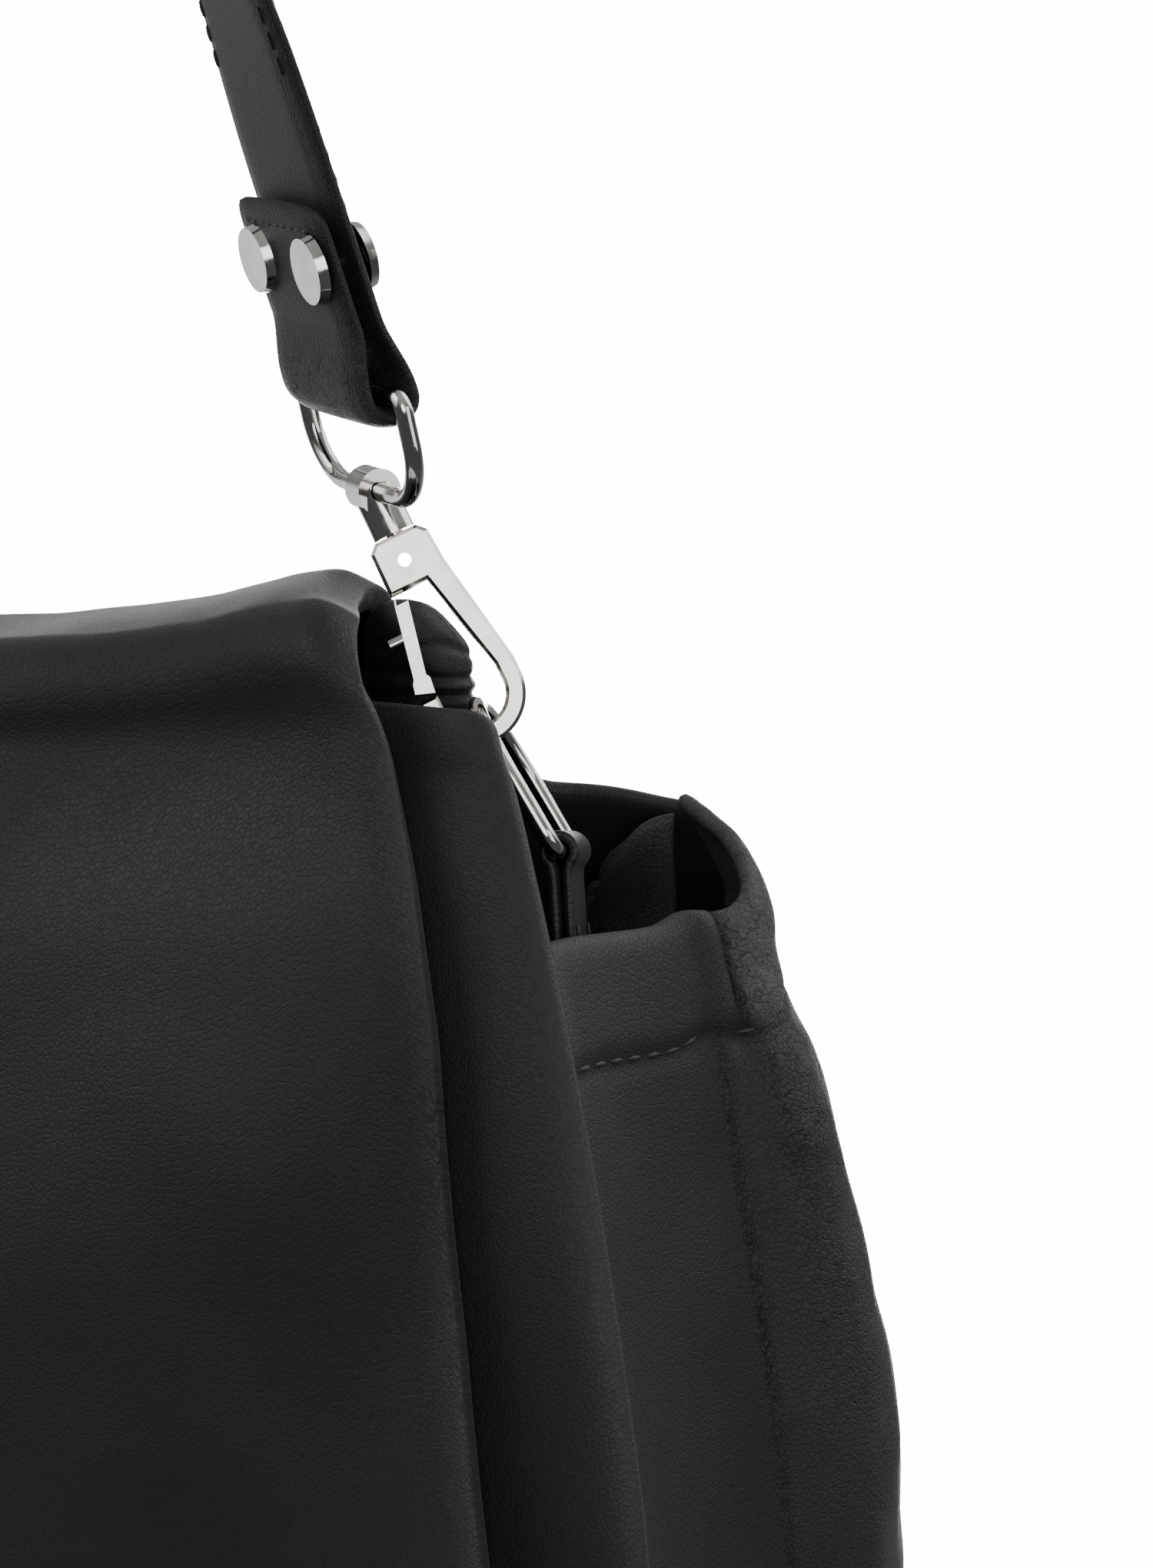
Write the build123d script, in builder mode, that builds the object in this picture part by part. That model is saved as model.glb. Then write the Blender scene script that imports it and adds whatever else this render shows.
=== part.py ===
"""Black leather flap shoulder bag, in millimetres.

+X is the bag's right-hand end, -Y its front and +Z up. The origin is the middle of the flat base.
The bag stands on its base with the shoulder strap raised, clipped by a swivel hook at each end.
"""

import os
from math import cos, radians, sin

from build123d import *

# ---------------------------------------------------------------- driving dimensions
LEATHER = 2.6  # folded leather with its backing
MOUTH_Z = 252.0  # top edge of the front and back panels
BASE_HALF_X = 170.0
WAIST_HALF_X = 172.0
WAIST_Z = 100.0
SHOULDER_HALF_X = 163.0
SHOULDER_Z = 170.0
MOUTH_HALF_X = 129.0
BASE_HALF_Y = 46.0
WAIST_HALF_Y = 50.0
SHOULDER_HALF_Y = 43.0
MOUTH_HALF_Y = 14.0
PLEAT = 0.06  # how far a gusset stands out per millimetre towards its middle crease
RIM_FRONT_Z = 221.0  # gusset's top edge, 30 mm in front of the middle
RIM_BACK_Z = 231.0  # gusset's top edge, 30 mm behind the middle

BOARD = (316.0, 82.0, 2.0)
POCKET = (150.0, 110.0, 2.0)
HEM_T = 1.4
HEM_H = 14.0
FACING_H = 20.0

FLAP_T = 3.0
FLAP_GAP = 3.6  # the flap hangs this far in front of the front panel
FLAP_TOP_Z = 266.5  # outside of the flap's top
FLAP_HINGE = (-19.2, 264.6)  # Y and Z of the bend between the flap's top and its front
ROOT_HINGE = (15.8, 264.6)  # Y and Z of the bend between the flap's top and its root
ROOT_Z = 226.0  # lower edge of the part that is sewn to the back panel
FLAP_HALF_X_BACK = 96.0
FLAP_HALF_X_FOLD = 108.0
FLAP_HALF_X_MID = 149.0
FLAP_MID_Z = 147.0
FLAP_HALF_X_HEM = 157.0
FLAP_HEM_Z = 45.0
SNAP_R = 7.0
SNAP_H = 1.5
SNAP_Z = 72.0

WIRE = 1.2  # radius of the bag ring's wire
RING_WIDTH = 26.0  # bag ring, between wire centres
RING_BAR = (135.2, 230.6)  # X and Z of the straight bar that the chape holds
LINK = (122.0, 250.0)  # X and Z of the ring's crown, where the hook hangs
RING_CORNER = 3.2
CHAPE_HALF_W = 9.5
CHAPE_PLY = 1.5
CHAPE_LENGTH = 36.0
RING_TURN = 23.0  # degrees the ring and its chape are turned about the ring's height
RUNNING = 0.15  # radial clearance of turning metal parts

HOOK_LEAN = 29.0  # degrees from upright, towards the bag's middle
HOOK_TURN = 30.0  # degrees its face is turned outwards from straight ahead
HOOK_T = 3.2
HOOK_IN = 4.5  # inside radius of the hook's bend
HOOK_OUT = 7.3
BEND_Z = 1.6  # centre of the bend, above the link along the hook's axis
PLATE_Z = (18.5, 26.0)
PIVOT = (-0.4, 22.2)  # the gate's pivot across and along the hook
PIVOT_R = 1.5
RIVET_BORE = 0.95  # the gate's rivet is a tube
SLOT_T = 1.5  # slot in the hook's plate that holds the gate's tongue
TONGUE_T = 1.3
EYE_R = 3.2  # outside of the collar round the loop's lower bar
EYE_WIDTH = 4.8
BOSS_R = 3.0
BOSS_Z = (26.15, 27.6)
PIN_R = 1.2
PIN_HEAD_R = 2.1

LOOP_Z = 33.0  # lower bar of the strap loop, above the link along the hook's axis
LOOP_WIRE = 1.3
LOOP_WIDTH = 35.0
LOOP_HEIGHT = 15.0
LOOP_CORNER = 8.5

STRAP_WIDTH = 30.0
STRAP_T = 2.9
STRAP_LEAN = 20.0  # degrees from upright, towards the bag's middle
STRAP_TURN = 39.0  # degrees the strap's end is turned about upright from facing along Y
CROWN_R = 40.0  # bend of the strap where it hangs
PLY_GAP = 0.2
FOLD_R = 1.9  # inside of the fold round the loop
TAB_TOP = 27.0  # the fold's short end, above the loop's upper bar
RIVET_Z = 18.2
RIVET_SPACING = 19.0
RIVET_R = 5.0
RIVET_CAP = 1.4
RIVET_SHANK = 1.5


# ---------------------------------------------------------------- outlines
def side_outline(inset, top=400.0):
    """Region inside the front and back panels, seen along X, shrunk by inset and open upwards."""
    with BuildSketch(Plane.YZ) as region:
        with BuildLine():
            front = Line((-BASE_HALF_Y, 0), (-WAIST_HALF_Y, WAIST_Z))
            slope = ThreePointArc(
                front @ 1, (-SHOULDER_HALF_Y, SHOULDER_Z + 7), (-MOUTH_HALF_Y, MOUTH_Z)
            )
            lip = Line(slope @ 1, (-MOUTH_HALF_Y, top))
            Line(lip @ 1, (MOUTH_HALF_Y, top))
            back_lip = Line((MOUTH_HALF_Y, top), (MOUTH_HALF_Y, MOUTH_Z))
            back_slope = ThreePointArc(
                back_lip @ 1, (SHOULDER_HALF_Y, SHOULDER_Z + 7), (WAIST_HALF_Y, WAIST_Z)
            )
            back = Line(back_slope @ 1, (BASE_HALF_Y, 0))
            Line(back @ 1, front @ 0)
        make_face()
        if inset:
            offset(amount=-inset, mode=Mode.REPLACE, kind=Kind.INTERSECTION)
    return region.sketch


def front_outline(inset, top=MOUTH_Z):
    """Region inside the two gussets, seen along Y, shrunk by inset."""
    with BuildSketch(Plane.XZ) as region:
        with BuildLine():
            right = Line((BASE_HALF_X, 0), (WAIST_HALF_X, WAIST_Z))
            slope = ThreePointArc(
                right @ 1, (SHOULDER_HALF_X, SHOULDER_Z), (MOUTH_HALF_X, MOUTH_Z)
            )
            lip = Line(slope @ 1, (MOUTH_HALF_X, MOUTH_Z + 60))
            Line(lip @ 1, (-MOUTH_HALF_X, MOUTH_Z + 60))
            left_lip = Line((-MOUTH_HALF_X, MOUTH_Z + 60), (-MOUTH_HALF_X, MOUTH_Z))
            left_slope = ThreePointArc(
                left_lip @ 1, (-SHOULDER_HALF_X, SHOULDER_Z), (-WAIST_HALF_X, WAIST_Z)
            )
            left = Line(left_slope @ 1, (-BASE_HALF_X, 0))
            Line(left @ 1, right @ 0)
        make_face()
        if inset:
            offset(amount=-inset, mode=Mode.REPLACE, kind=Kind.INTERSECTION)
    return region.sketch


def slab(low, high, reach=700.0):
    """Everything between two heights."""
    with BuildPart(Plane.XY.offset(low)) as region:
        Box(reach, reach, high - low, align=(Align.CENTER, Align.CENTER, Align.MIN))
    return region.part


# ---------------------------------------------------------------- bag body
def wall(side):
    """Front (side -1) or back (side 1) panel: a folded-edge sheet that leans in towards the mouth."""
    with BuildPart() as panel:
        add(extrude(side_outline(0), amount=300, both=True, mode=Mode.PRIVATE))
        add(
            extrude(side_outline(LEATHER), amount=300, both=True, mode=Mode.PRIVATE),
            mode=Mode.SUBTRACT,
        )
        add(
            extrude(front_outline(0), amount=100, both=True, mode=Mode.PRIVATE),
            mode=Mode.INTERSECT,
        )
        add(slab(LEATHER, MOUTH_Z), mode=Mode.INTERSECT)
        split(bisect_by=Plane.XZ, keep=Keep.BOTTOM if side > 0 else Keep.TOP)
    return panel.part


def gusset(side):
    """End wall between the panels, with a crease down its middle and a low, sloping rim."""
    reach = WAIST_HALF_Y + 10
    ring = front_outline(0) - front_outline(LEATHER)
    with BuildPart() as end:
        for towards in (-1, 1):
            with BuildSketch(Plane.XZ.offset(-towards * reach)) as strip:
                add(ring)
            extrude(strip.sketch, amount=reach * (1 + PLEAT**2) ** 0.5, dir=(PLEAT, -towards, 0))
        add(
            extrude(side_outline(LEATHER + 0.05), amount=400, both=True, mode=Mode.PRIVATE),
            mode=Mode.INTERSECT,
        )
        add(slab(LEATHER, MOUTH_Z), mode=Mode.INTERSECT)
        with BuildSketch(Plane.YZ) as above_rim:
            with BuildLine():
                Polyline(
                    (-90, RIM_FRONT_Z - (RIM_BACK_Z - RIM_FRONT_Z)),
                    (90, RIM_BACK_Z + (RIM_BACK_Z - RIM_FRONT_Z)),
                    (90, 400),
                    (-90, 400),
                    close=True,
                )
            make_face()
        extrude(above_rim.sketch, amount=400, both=True, mode=Mode.SUBTRACT)
        split(bisect_by=Plane.YZ, keep=Keep.TOP if side > 0 else Keep.BOTTOM)
    return end.part


def side_band(near, far, low, high, half_low, half_high):
    """Sheet that follows the front panel's slope, from near to far outside it, in front only."""
    with BuildPart() as band:
        add(extrude(side_outline(-far), amount=300, both=True, mode=Mode.PRIVATE))
        add(
            extrude(side_outline(-near), amount=300, both=True, mode=Mode.PRIVATE),
            mode=Mode.SUBTRACT,
        )
        add(slab(low, high), mode=Mode.INTERSECT)
        with BuildSketch(Plane.XZ) as width:
            with BuildLine():
                Polyline(
                    (-half_low, low),
                    (half_low, low),
                    (half_high, high),
                    (-half_high, high),
                    close=True,
                )
            make_face()
        extrude(width.sketch, amount=100, both=True, mode=Mode.INTERSECT)
        split(bisect_by=Plane.XZ, keep=Keep.TOP)
    return band.part


def mirrored(shape):
    """The same piece at the bag's other end."""
    with BuildPart() as other:
        add(mirror(shape, about=Plane.YZ))
    return other.part


# ---------------------------------------------------------------- bag body
with BuildPart() as front_panel:
    add(wall(-1))

with BuildPart() as back_panel:
    add(wall(1))

with BuildPart() as gusset_right:
    add(gusset(1))

with BuildPart() as base_panel:
    with BuildSketch(Plane.XY) as floor_plan:
        Rectangle(2 * BASE_HALF_X, 2 * BASE_HALF_Y)
        with Locations((BASE_HALF_X, 0), (-BASE_HALF_X, 0)):
            Rectangle(2 * BASE_HALF_Y * PLEAT, 2 * BASE_HALF_Y - 20)
    extrude(amount=LEATHER)

with BuildPart() as base_board:
    with BuildSketch(Plane.XY.offset(LEATHER + 0.3)):
        RectangleRounded(BOARD[0], BOARD[1], 6)
    extrude(amount=BOARD[2])

with BuildPart() as inner_pocket:
    pocket_middle = (0, WAIST_HALF_Y - LEATHER - 2.2, WAIST_Z - 35)
    pocket_plane = Plane(pocket_middle, x_dir=(1, 0, 0), z_dir=(0, -1, 0.03))
    with BuildSketch(pocket_plane):
        RectangleRounded(POCKET[0], POCKET[1], 8)
    extrude(amount=POCKET[2])

with BuildPart() as front_facing:
    with BuildSketch(Plane.XZ.offset(MOUTH_HALF_Y - LEATHER - 1.6)):
        with Locations((0, MOUTH_Z - 3.5)):
            Rectangle(2 * MOUTH_HALF_X - 24, 5)
    extrude(amount=1.2)


# ---------------------------------------------------------------- gusset hem, sewn on outside the rim
def hem():
    """Turned leather band round the outside of the gusset's rim."""
    ring = front_outline(-HEM_T - 0.2) - front_outline(-0.2)
    reach = WAIST_HALF_Y + 10
    with BuildPart() as band:
        for towards in (-1, 1):
            with BuildSketch(Plane.XZ.offset(-towards * reach)) as strip:
                add(ring)
            extrude(
                strip.sketch, amount=reach * (1 + PLEAT**2) ** 0.5, dir=(PLEAT, -towards, 0)
            )
        add(
            extrude(side_outline(LEATHER), amount=400, both=True, mode=Mode.PRIVATE),
            mode=Mode.INTERSECT,
        )
        with BuildSketch(Plane.YZ) as zone:
            with BuildLine():
                Polyline(
                    (-30, RIM_FRONT_Z - HEM_H),
                    (30, RIM_BACK_Z - HEM_H),
                    (30, RIM_BACK_Z),
                    (-30, RIM_FRONT_Z),
                    close=True,
                )
            make_face()
        extrude(zone.sketch, amount=400, both=True, mode=Mode.INTERSECT)
        split(bisect_by=Plane.YZ, keep=Keep.TOP)
    return band.part


with BuildPart() as hem_right:
    add(hem())

# ---------------------------------------------------------------- flap
with BuildPart() as flap_root:
    add(
        mirror(
            side_band(0.3, FLAP_T + 0.3, ROOT_Z, FLAP_TOP_Z - 4.5, 106, FLAP_HALF_X_BACK),
            about=Plane.XZ,
        )
    )

with BuildPart() as flap_top:
    with BuildSketch(Plane.XY.offset(FLAP_TOP_Z - FLAP_T)):
        with BuildLine():
            Polyline(
                (-FLAP_HALF_X_BACK, ROOT_HINGE[0] + 1),
                (FLAP_HALF_X_BACK, ROOT_HINGE[0] + 1),
                (FLAP_HALF_X_FOLD - 1.0, FLAP_HINGE[0] + 2.2),
                (-FLAP_HALF_X_FOLD + 1.0, FLAP_HINGE[0] + 2.2),
                close=True,
            )
        make_face()
    extrude(amount=FLAP_T)

with BuildPart() as flap_front:
    add(
        side_band(
            FLAP_GAP,
            FLAP_GAP + FLAP_T,
            FLAP_MID_Z,
            FLAP_TOP_Z - 4.0,
            FLAP_HALF_X_MID,
            FLAP_HALF_X_FOLD,
        )
    )
    add(
        side_band(
            FLAP_GAP,
            FLAP_GAP + FLAP_T,
            FLAP_HEM_Z,
            FLAP_MID_Z,
            FLAP_HALF_X_HEM,
            FLAP_HALF_X_MID,
        )
    )


def snap_half(out):
    """Hidden magnetic snap disc, its back out millimetres from the front panel's outer face."""
    face_y = -BASE_HALF_Y - (WAIST_HALF_Y - BASE_HALF_Y) * SNAP_Z / WAIST_Z
    with BuildPart() as disc:
        with BuildSketch(Plane((0, face_y - out, SNAP_Z), z_dir=(0, -1, -0.04))):
            Circle(SNAP_R)
        snap = extrude(amount=SNAP_H)
        chamfer(snap.edges().filter_by(GeomType.CIRCLE), 0.3)
    return disc.part


with BuildPart() as snap_socket:
    add(snap_half(0.05))

with BuildPart() as snap_stud:
    add(snap_half(FLAP_GAP - SNAP_H - 0.05))

# ---------------------------------------------------------------- bag ring and its chape
ring_up = Vector(LINK[0] - RING_BAR[0], 0, LINK[1] - RING_BAR[1])
ring_foot = (RING_BAR[0], 0, RING_BAR[1])
ring_bar = Vector(0, 1, 0).rotate(Axis((0, 0, 0), ring_up), RING_TURN)
ring_plane = Plane(ring_foot, x_dir=ring_bar, z_dir=ring_bar.cross(ring_up))
ring_height = ring_up.length
half_ring = RING_WIDTH / 2

with BuildPart() as bag_ring_right:
    with BuildLine(ring_plane) as ring_path:
        bend = RING_CORNER * (1 - cos(radians(45)))
        shoulder = ring_height - half_ring
        Line((0, 0), (half_ring - RING_CORNER, 0))
        ThreePointArc(
            (half_ring - RING_CORNER, 0), (half_ring - bend, bend), (half_ring, RING_CORNER)
        )
        Line((half_ring, RING_CORNER), (half_ring, shoulder))
        ThreePointArc((half_ring, shoulder), (0, ring_height), (-half_ring, shoulder))
        Line((-half_ring, shoulder), (-half_ring, RING_CORNER))
        ThreePointArc(
            (-half_ring, RING_CORNER), (bend - half_ring, bend), (RING_CORNER - half_ring, 0)
        )
        Line((RING_CORNER - half_ring, 0), (0, 0))
    with BuildSketch(Plane(ring_foot, z_dir=ring_bar)):
        Circle(WIRE)
    sweep(path=ring_path.wires()[0])

chape_drop = (Vector(0.08, 0, -1) - ring_bar * Vector(0.08, 0, -1).dot(ring_bar)).normalized()
chape_end = Vector(*ring_foot) + ring_bar * CHAPE_HALF_W
with BuildPart() as chape_right:
    with BuildSketch(Plane(chape_end, x_dir=chape_drop.cross(ring_bar), z_dir=-ring_bar)):
        Circle(WIRE + RUNNING + CHAPE_PLY)
        Rectangle(2 * CHAPE_PLY + 0.6, CHAPE_LENGTH, align=(Align.CENTER, Align.MAX))
        Circle(WIRE + RUNNING, mode=Mode.SUBTRACT)
    extrude(amount=2 * CHAPE_HALF_W)

# ---------------------------------------------------------------- swivel hook
lean = radians(HOOK_LEAN)
turn = radians(HOOK_TURN)
hook_up = Vector(-sin(lean), 0, cos(lean))
hook_face = Vector(sin(turn) * cos(lean), -cos(turn), sin(turn) * sin(lean))
hook_side = hook_up.cross(hook_face)
link_point = Vector(LINK[0], 0, LINK[1])
hook_plane = Plane(link_point, x_dir=hook_side, z_dir=hook_face)


def along_hook(height):
    """Plane across the hook's axis at a height above the link."""
    return Plane(link_point + hook_up * height, x_dir=hook_side, z_dir=hook_up)


with BuildPart() as hook_right:
    with BuildSketch(hook_plane) as hook_face_sketch:
        with Locations((0, BEND_Z)):
            Circle(HOOK_OUT)
            Circle(HOOK_IN, mode=Mode.SUBTRACT)
        with Locations((0, BEND_Z + 10)):
            Rectangle(30, 20, mode=Mode.SUBTRACT)
        with Locations((-(HOOK_IN + HOOK_OUT) / 2, BEND_Z)):
            Rectangle(HOOK_OUT - HOOK_IN, 2.0, align=(Align.CENTER, Align.MIN))
        with BuildLine():
            Polyline(
                (HOOK_IN, BEND_Z),
                (HOOK_OUT, BEND_Z),
                (HOOK_OUT, BEND_Z + 2.4),
                (4.6, PLATE_Z[0] + 1.5),
                (4.3, PLATE_Z[1] - 1.2),
                (3.1, PLATE_Z[1]),
                (-3.1, PLATE_Z[1]),
                (-4.3, PLATE_Z[1] - 1.2),
                (-4.4, PLATE_Z[0]),
                (1.2, PLATE_Z[0]),
                (HOOK_IN, BEND_Z + 2.4),
                close=True,
            )
        make_face()
    hook_bar = extrude(amount=HOOK_T / 2, both=True)
    faces_up = hook_bar.faces().sort_by(Axis(link_point, hook_face))
    chamfer(faces_up[-1].edges(), 0.5)
    with BuildSketch(hook_plane) as slot_sketch:
        with Locations((-2.225, 21.2)):
            Rectangle(9.35, 7.6)
    extrude(amount=SLOT_T / 2, both=True, mode=Mode.SUBTRACT)
    with BuildSketch(hook_plane):
        with Locations(PIVOT):
            Circle(PIVOT_R + 0.05)
    extrude(amount=HOOK_T, both=True, mode=Mode.SUBTRACT)
    with BuildSketch(along_hook(PLATE_Z[1] - 1.2)):
        Circle(PIN_R)
    extrude(amount=BOSS_Z[1] - PLATE_Z[1] + 1.4)
    with BuildSketch(along_hook(BOSS_Z[1] + 0.15)):
        Circle(PIN_HEAD_R)
    extrude(amount=0.8)

with BuildPart() as gate_right:
    with BuildSketch(hook_plane):
        with BuildLine():
            Polyline(
                (-HOOK_OUT + 0.1, 4.9),
                (-HOOK_IN - 0.1, 3.95),
                (-HOOK_IN + 0.2, 6.2),
                (-HOOK_IN - 0.15, 6.8),
                (-2.4, PLATE_Z[0] - 1.4),
                (-2.3, PLATE_Z[0] - 0.5),
                (-4.1, PLATE_Z[0] - 0.5),
                (-4.4, PLATE_Z[0] - 1.4),
                (-6.5, 6.8),
                (-6.9, 6.2),
                close=True,
            )
        make_face()
    extrude(amount=HOOK_T / 2 - 0.1, both=True)
    with BuildSketch(hook_plane) as tongue:
        with BuildLine():
            Polyline(
                (-4.2, PLATE_Z[0] - 1.5),
                (-2.2, PLATE_Z[0] - 1.5),
                (PIVOT[0] + 1.7, PIVOT[1] - 1.2),
                (PIVOT[0] - 1.7, PIVOT[1] + 1.2),
                close=True,
            )
        make_face()
        with Locations(PIVOT):
            Circle(2.6)
    extrude(tongue.sketch, amount=TONGUE_T / 2, both=True)
    with BuildSketch(hook_plane):
        with Locations(PIVOT):
            Circle(PIVOT_R + 0.06)
    extrude(amount=HOOK_T, both=True, mode=Mode.SUBTRACT)
    knob_plane = Plane(
        link_point + hook_up * 12.5 - hook_side * 4.6,
        x_dir=hook_face,
        z_dir=-hook_side,
    )
    with BuildSketch(knob_plane):
        Circle(0.8)
    extrude(amount=2.8)

with BuildPart() as gate_rivet_right:
    with BuildSketch(hook_plane):
        with Locations(PIVOT):
            Circle(PIVOT_R)
    extrude(amount=HOOK_T / 2 + 0.1, both=True)
    for facing in (1, -1):
        with BuildSketch(hook_plane.offset(facing * (HOOK_T / 2 + 0.05))):
            with Locations(PIVOT):
                Circle(PIVOT_R + 0.65)
        extrude(amount=facing * 0.45)
    with BuildSketch(hook_plane):
        with Locations(PIVOT):
            Circle(RIVET_BORE)
    extrude(amount=HOOK_T, both=True, mode=Mode.SUBTRACT)

# ---------------------------------------------------------------- strap loop
loop_along = Vector(cos(radians(STRAP_TURN)), -sin(radians(STRAP_TURN)), 0)
strap_up = Vector(-sin(radians(STRAP_LEAN)), 0, cos(radians(STRAP_LEAN)))
loop_up = (strap_up - loop_along * loop_along.dot(strap_up)).normalized()
loop_low = link_point + hook_up * LOOP_Z
loop_top = loop_low + loop_up * LOOP_HEIGHT
loop_plane = Plane(loop_low, x_dir=loop_along, z_dir=loop_along.cross(loop_up))

with BuildPart() as loop_right:
    half_loop = LOOP_WIDTH / 2
    with BuildLine(loop_plane) as loop_path:
        bend = LOOP_CORNER * (1 - cos(radians(45)))
        nip = 2.0 * (1 - cos(radians(45)))
        Line((0, 0), (half_loop - LOOP_CORNER, 0))
        for side in (1, -1):
            ThreePointArc(
                (side * (half_loop - LOOP_CORNER), 0),
                (side * (half_loop - bend), bend),
                (side * half_loop, LOOP_CORNER),
            )
            Line((side * half_loop, LOOP_CORNER), (side * half_loop, LOOP_HEIGHT - 2.0))
            ThreePointArc(
                (side * half_loop, LOOP_HEIGHT - 2.0),
                (side * (half_loop - nip), LOOP_HEIGHT - nip),
                (side * (half_loop - 2.0), LOOP_HEIGHT),
            )
        Line((half_loop - 2.0, LOOP_HEIGHT), (2.0 - half_loop, LOOP_HEIGHT))
        Line((LOOP_CORNER - half_loop, 0), (0, 0))
    with BuildSketch(Plane(loop_low, z_dir=loop_along)):
        Circle(LOOP_WIRE)
    sweep(path=loop_path.wires()[0])

# ---------------------------------------------------------------- swivel eye, round the loop's lower bar
with BuildPart() as eye_right:
    with BuildSketch(along_hook(BOSS_Z[0])):
        Circle(BOSS_R)
    extrude(amount=LOOP_Z - BOSS_Z[0])
    with BuildSketch(Plane(loop_low, z_dir=loop_along)):
        Circle(EYE_R)
    extrude(amount=EYE_WIDTH / 2, both=True)
    with BuildSketch(Plane(loop_low, z_dir=loop_along)):
        Circle(LOOP_WIRE + RUNNING)
    extrude(amount=EYE_WIDTH, both=True, mode=Mode.SUBTRACT)
    with BuildSketch(along_hook(BOSS_Z[0])):
        Circle(PIN_R + 0.1)
    extrude(amount=BOSS_Z[1] - BOSS_Z[0], mode=Mode.SUBTRACT)
    with BuildSketch(along_hook(BOSS_Z[1])):
        Circle(PIN_HEAD_R + 0.1)
    extrude(amount=1.1, mode=Mode.SUBTRACT)

# ---------------------------------------------------------------- shoulder strap
strap_in = loop_along.cross(strap_up).normalized()
end_plane = Plane(loop_top, x_dir=strap_in, z_dir=strap_in.cross(strap_up))
ply_middle = -(PLY_GAP + STRAP_T) / 2


def strap_end():
    """Right-hand end: folded round the loop's upper bar, with its short end inside."""
    outer = FOLD_R + STRAP_T
    start = loop_top - loop_along * (STRAP_WIDTH / 2)
    with BuildPart() as fold:
        with BuildSketch(Plane(start, x_dir=strap_in, z_dir=strap_in.cross(strap_up))) as shape:
            Circle(outer)
            with BuildLine():
                Polyline(
                    (-outer + 0.25, 1.5),
                    (-PLY_GAP / 2 - STRAP_T, 11.5),
                    (-PLY_GAP / 2 - STRAP_T, TAB_TOP),
                    (PLY_GAP / 2 + STRAP_T, TAB_TOP),
                    (PLY_GAP / 2 + STRAP_T, 11.5),
                    (outer - 0.25, 1.5),
                    close=True,
                )
            make_face()
            Circle(FOLD_R, mode=Mode.SUBTRACT)
            with BuildLine():
                Polyline(
                    (-FOLD_R + 0.1, 0.8),
                    (-PLY_GAP / 2, 10.0),
                    (-PLY_GAP / 2, TAB_TOP + 1),
                    (PLY_GAP / 2, TAB_TOP + 1),
                    (PLY_GAP / 2, 10.0),
                    (FOLD_R - 0.1, 0.8),
                    close=True,
                )
            make_face(mode=Mode.SUBTRACT)
        extrude(shape.sketch, amount=STRAP_WIDTH, dir=loop_along)
        for side in (-1, 1):
            seat = loop_top + strap_up * RIVET_Z + loop_along * (side * RIVET_SPACING / 2)
            with BuildSketch(Plane(seat, z_dir=strap_in)):
                Circle(RIVET_SHANK + 0.05)
            extrude(amount=12, both=True, mode=Mode.SUBTRACT)
    return fold.part


def strap_section(middle, along, normal):
    """Slice of the strap: its width lies along one direction, its thickness across it."""
    with BuildSketch(Plane(middle, x_dir=along, z_dir=along.cross(normal))) as slice_face:
        Rectangle(STRAP_WIDTH, STRAP_T)
    return slice_face.sketch


tilt = radians(STRAP_LEAN)
leg_foot = loop_top + strap_up * (TAB_TOP - 0.01) + strap_in * ply_middle
foot_x = leg_foot.X
foot_z = leg_foot.Z
crown_centre_z = foot_z + (foot_x * cos(tilt) - CROWN_R) / sin(tilt)
leg_length = (foot_x - CROWN_R * cos(tilt)) / sin(tilt)


def strap_leg():
    """Half of the strap, from its right-hand fold up to the middle of the crown."""
    stations = []
    count = 10
    for k in range(count + 1):
        share = k / count
        ease = share * share * (3 - 2 * share)
        angle = radians(STRAP_TURN + (90 - STRAP_TURN) * ease)
        along = Vector(cos(angle), -sin(angle), 0)
        middle = leg_foot + strap_up * (leg_length * share)
        middle = middle - Vector(0, middle.Y * ease, 0)
        stations.append((middle, along, along.cross(strap_up).normalized()))
    arc_steps = 6
    for k in range(1, arc_steps + 1):
        angle = tilt + (radians(90) - tilt) * k / arc_steps
        middle = Vector(CROWN_R * cos(angle), 0, crown_centre_z + CROWN_R * sin(angle))
        stations.append((middle, Vector(0, -1, 0), Vector(-cos(angle), 0, -sin(angle))))
    with BuildPart() as leg:
        for near, far in zip(stations, stations[1:]):
            loft(sections=[strap_section(*near), strap_section(*far)], ruled=True)
    return leg.part


with BuildPart() as strap:
    add(strap_end())
    add(strap_leg())
    add(mirror(strap.part, about=Plane.YZ))

with BuildPart() as strap_rivets:
    for side in (-1, 1):
        seat = loop_top + strap_up * RIVET_Z + loop_along * (side * RIVET_SPACING / 2)
        reach = PLY_GAP / 2 + STRAP_T
        with BuildSketch(Plane(seat - strap_in * (reach + 0.2), z_dir=strap_in)):
            Circle(RIVET_SHANK)
        extrude(amount=2 * reach + 0.4)
        for facing in (-1, 1):
            with BuildSketch(
                Plane(seat + strap_in * (facing * (reach + 0.05)), z_dir=strap_in * facing)
            ):
                Circle(RIVET_R)
            extrude(amount=RIVET_CAP, taper=16)
    add(mirror(strap_rivets.part, about=Plane.YZ))

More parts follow.
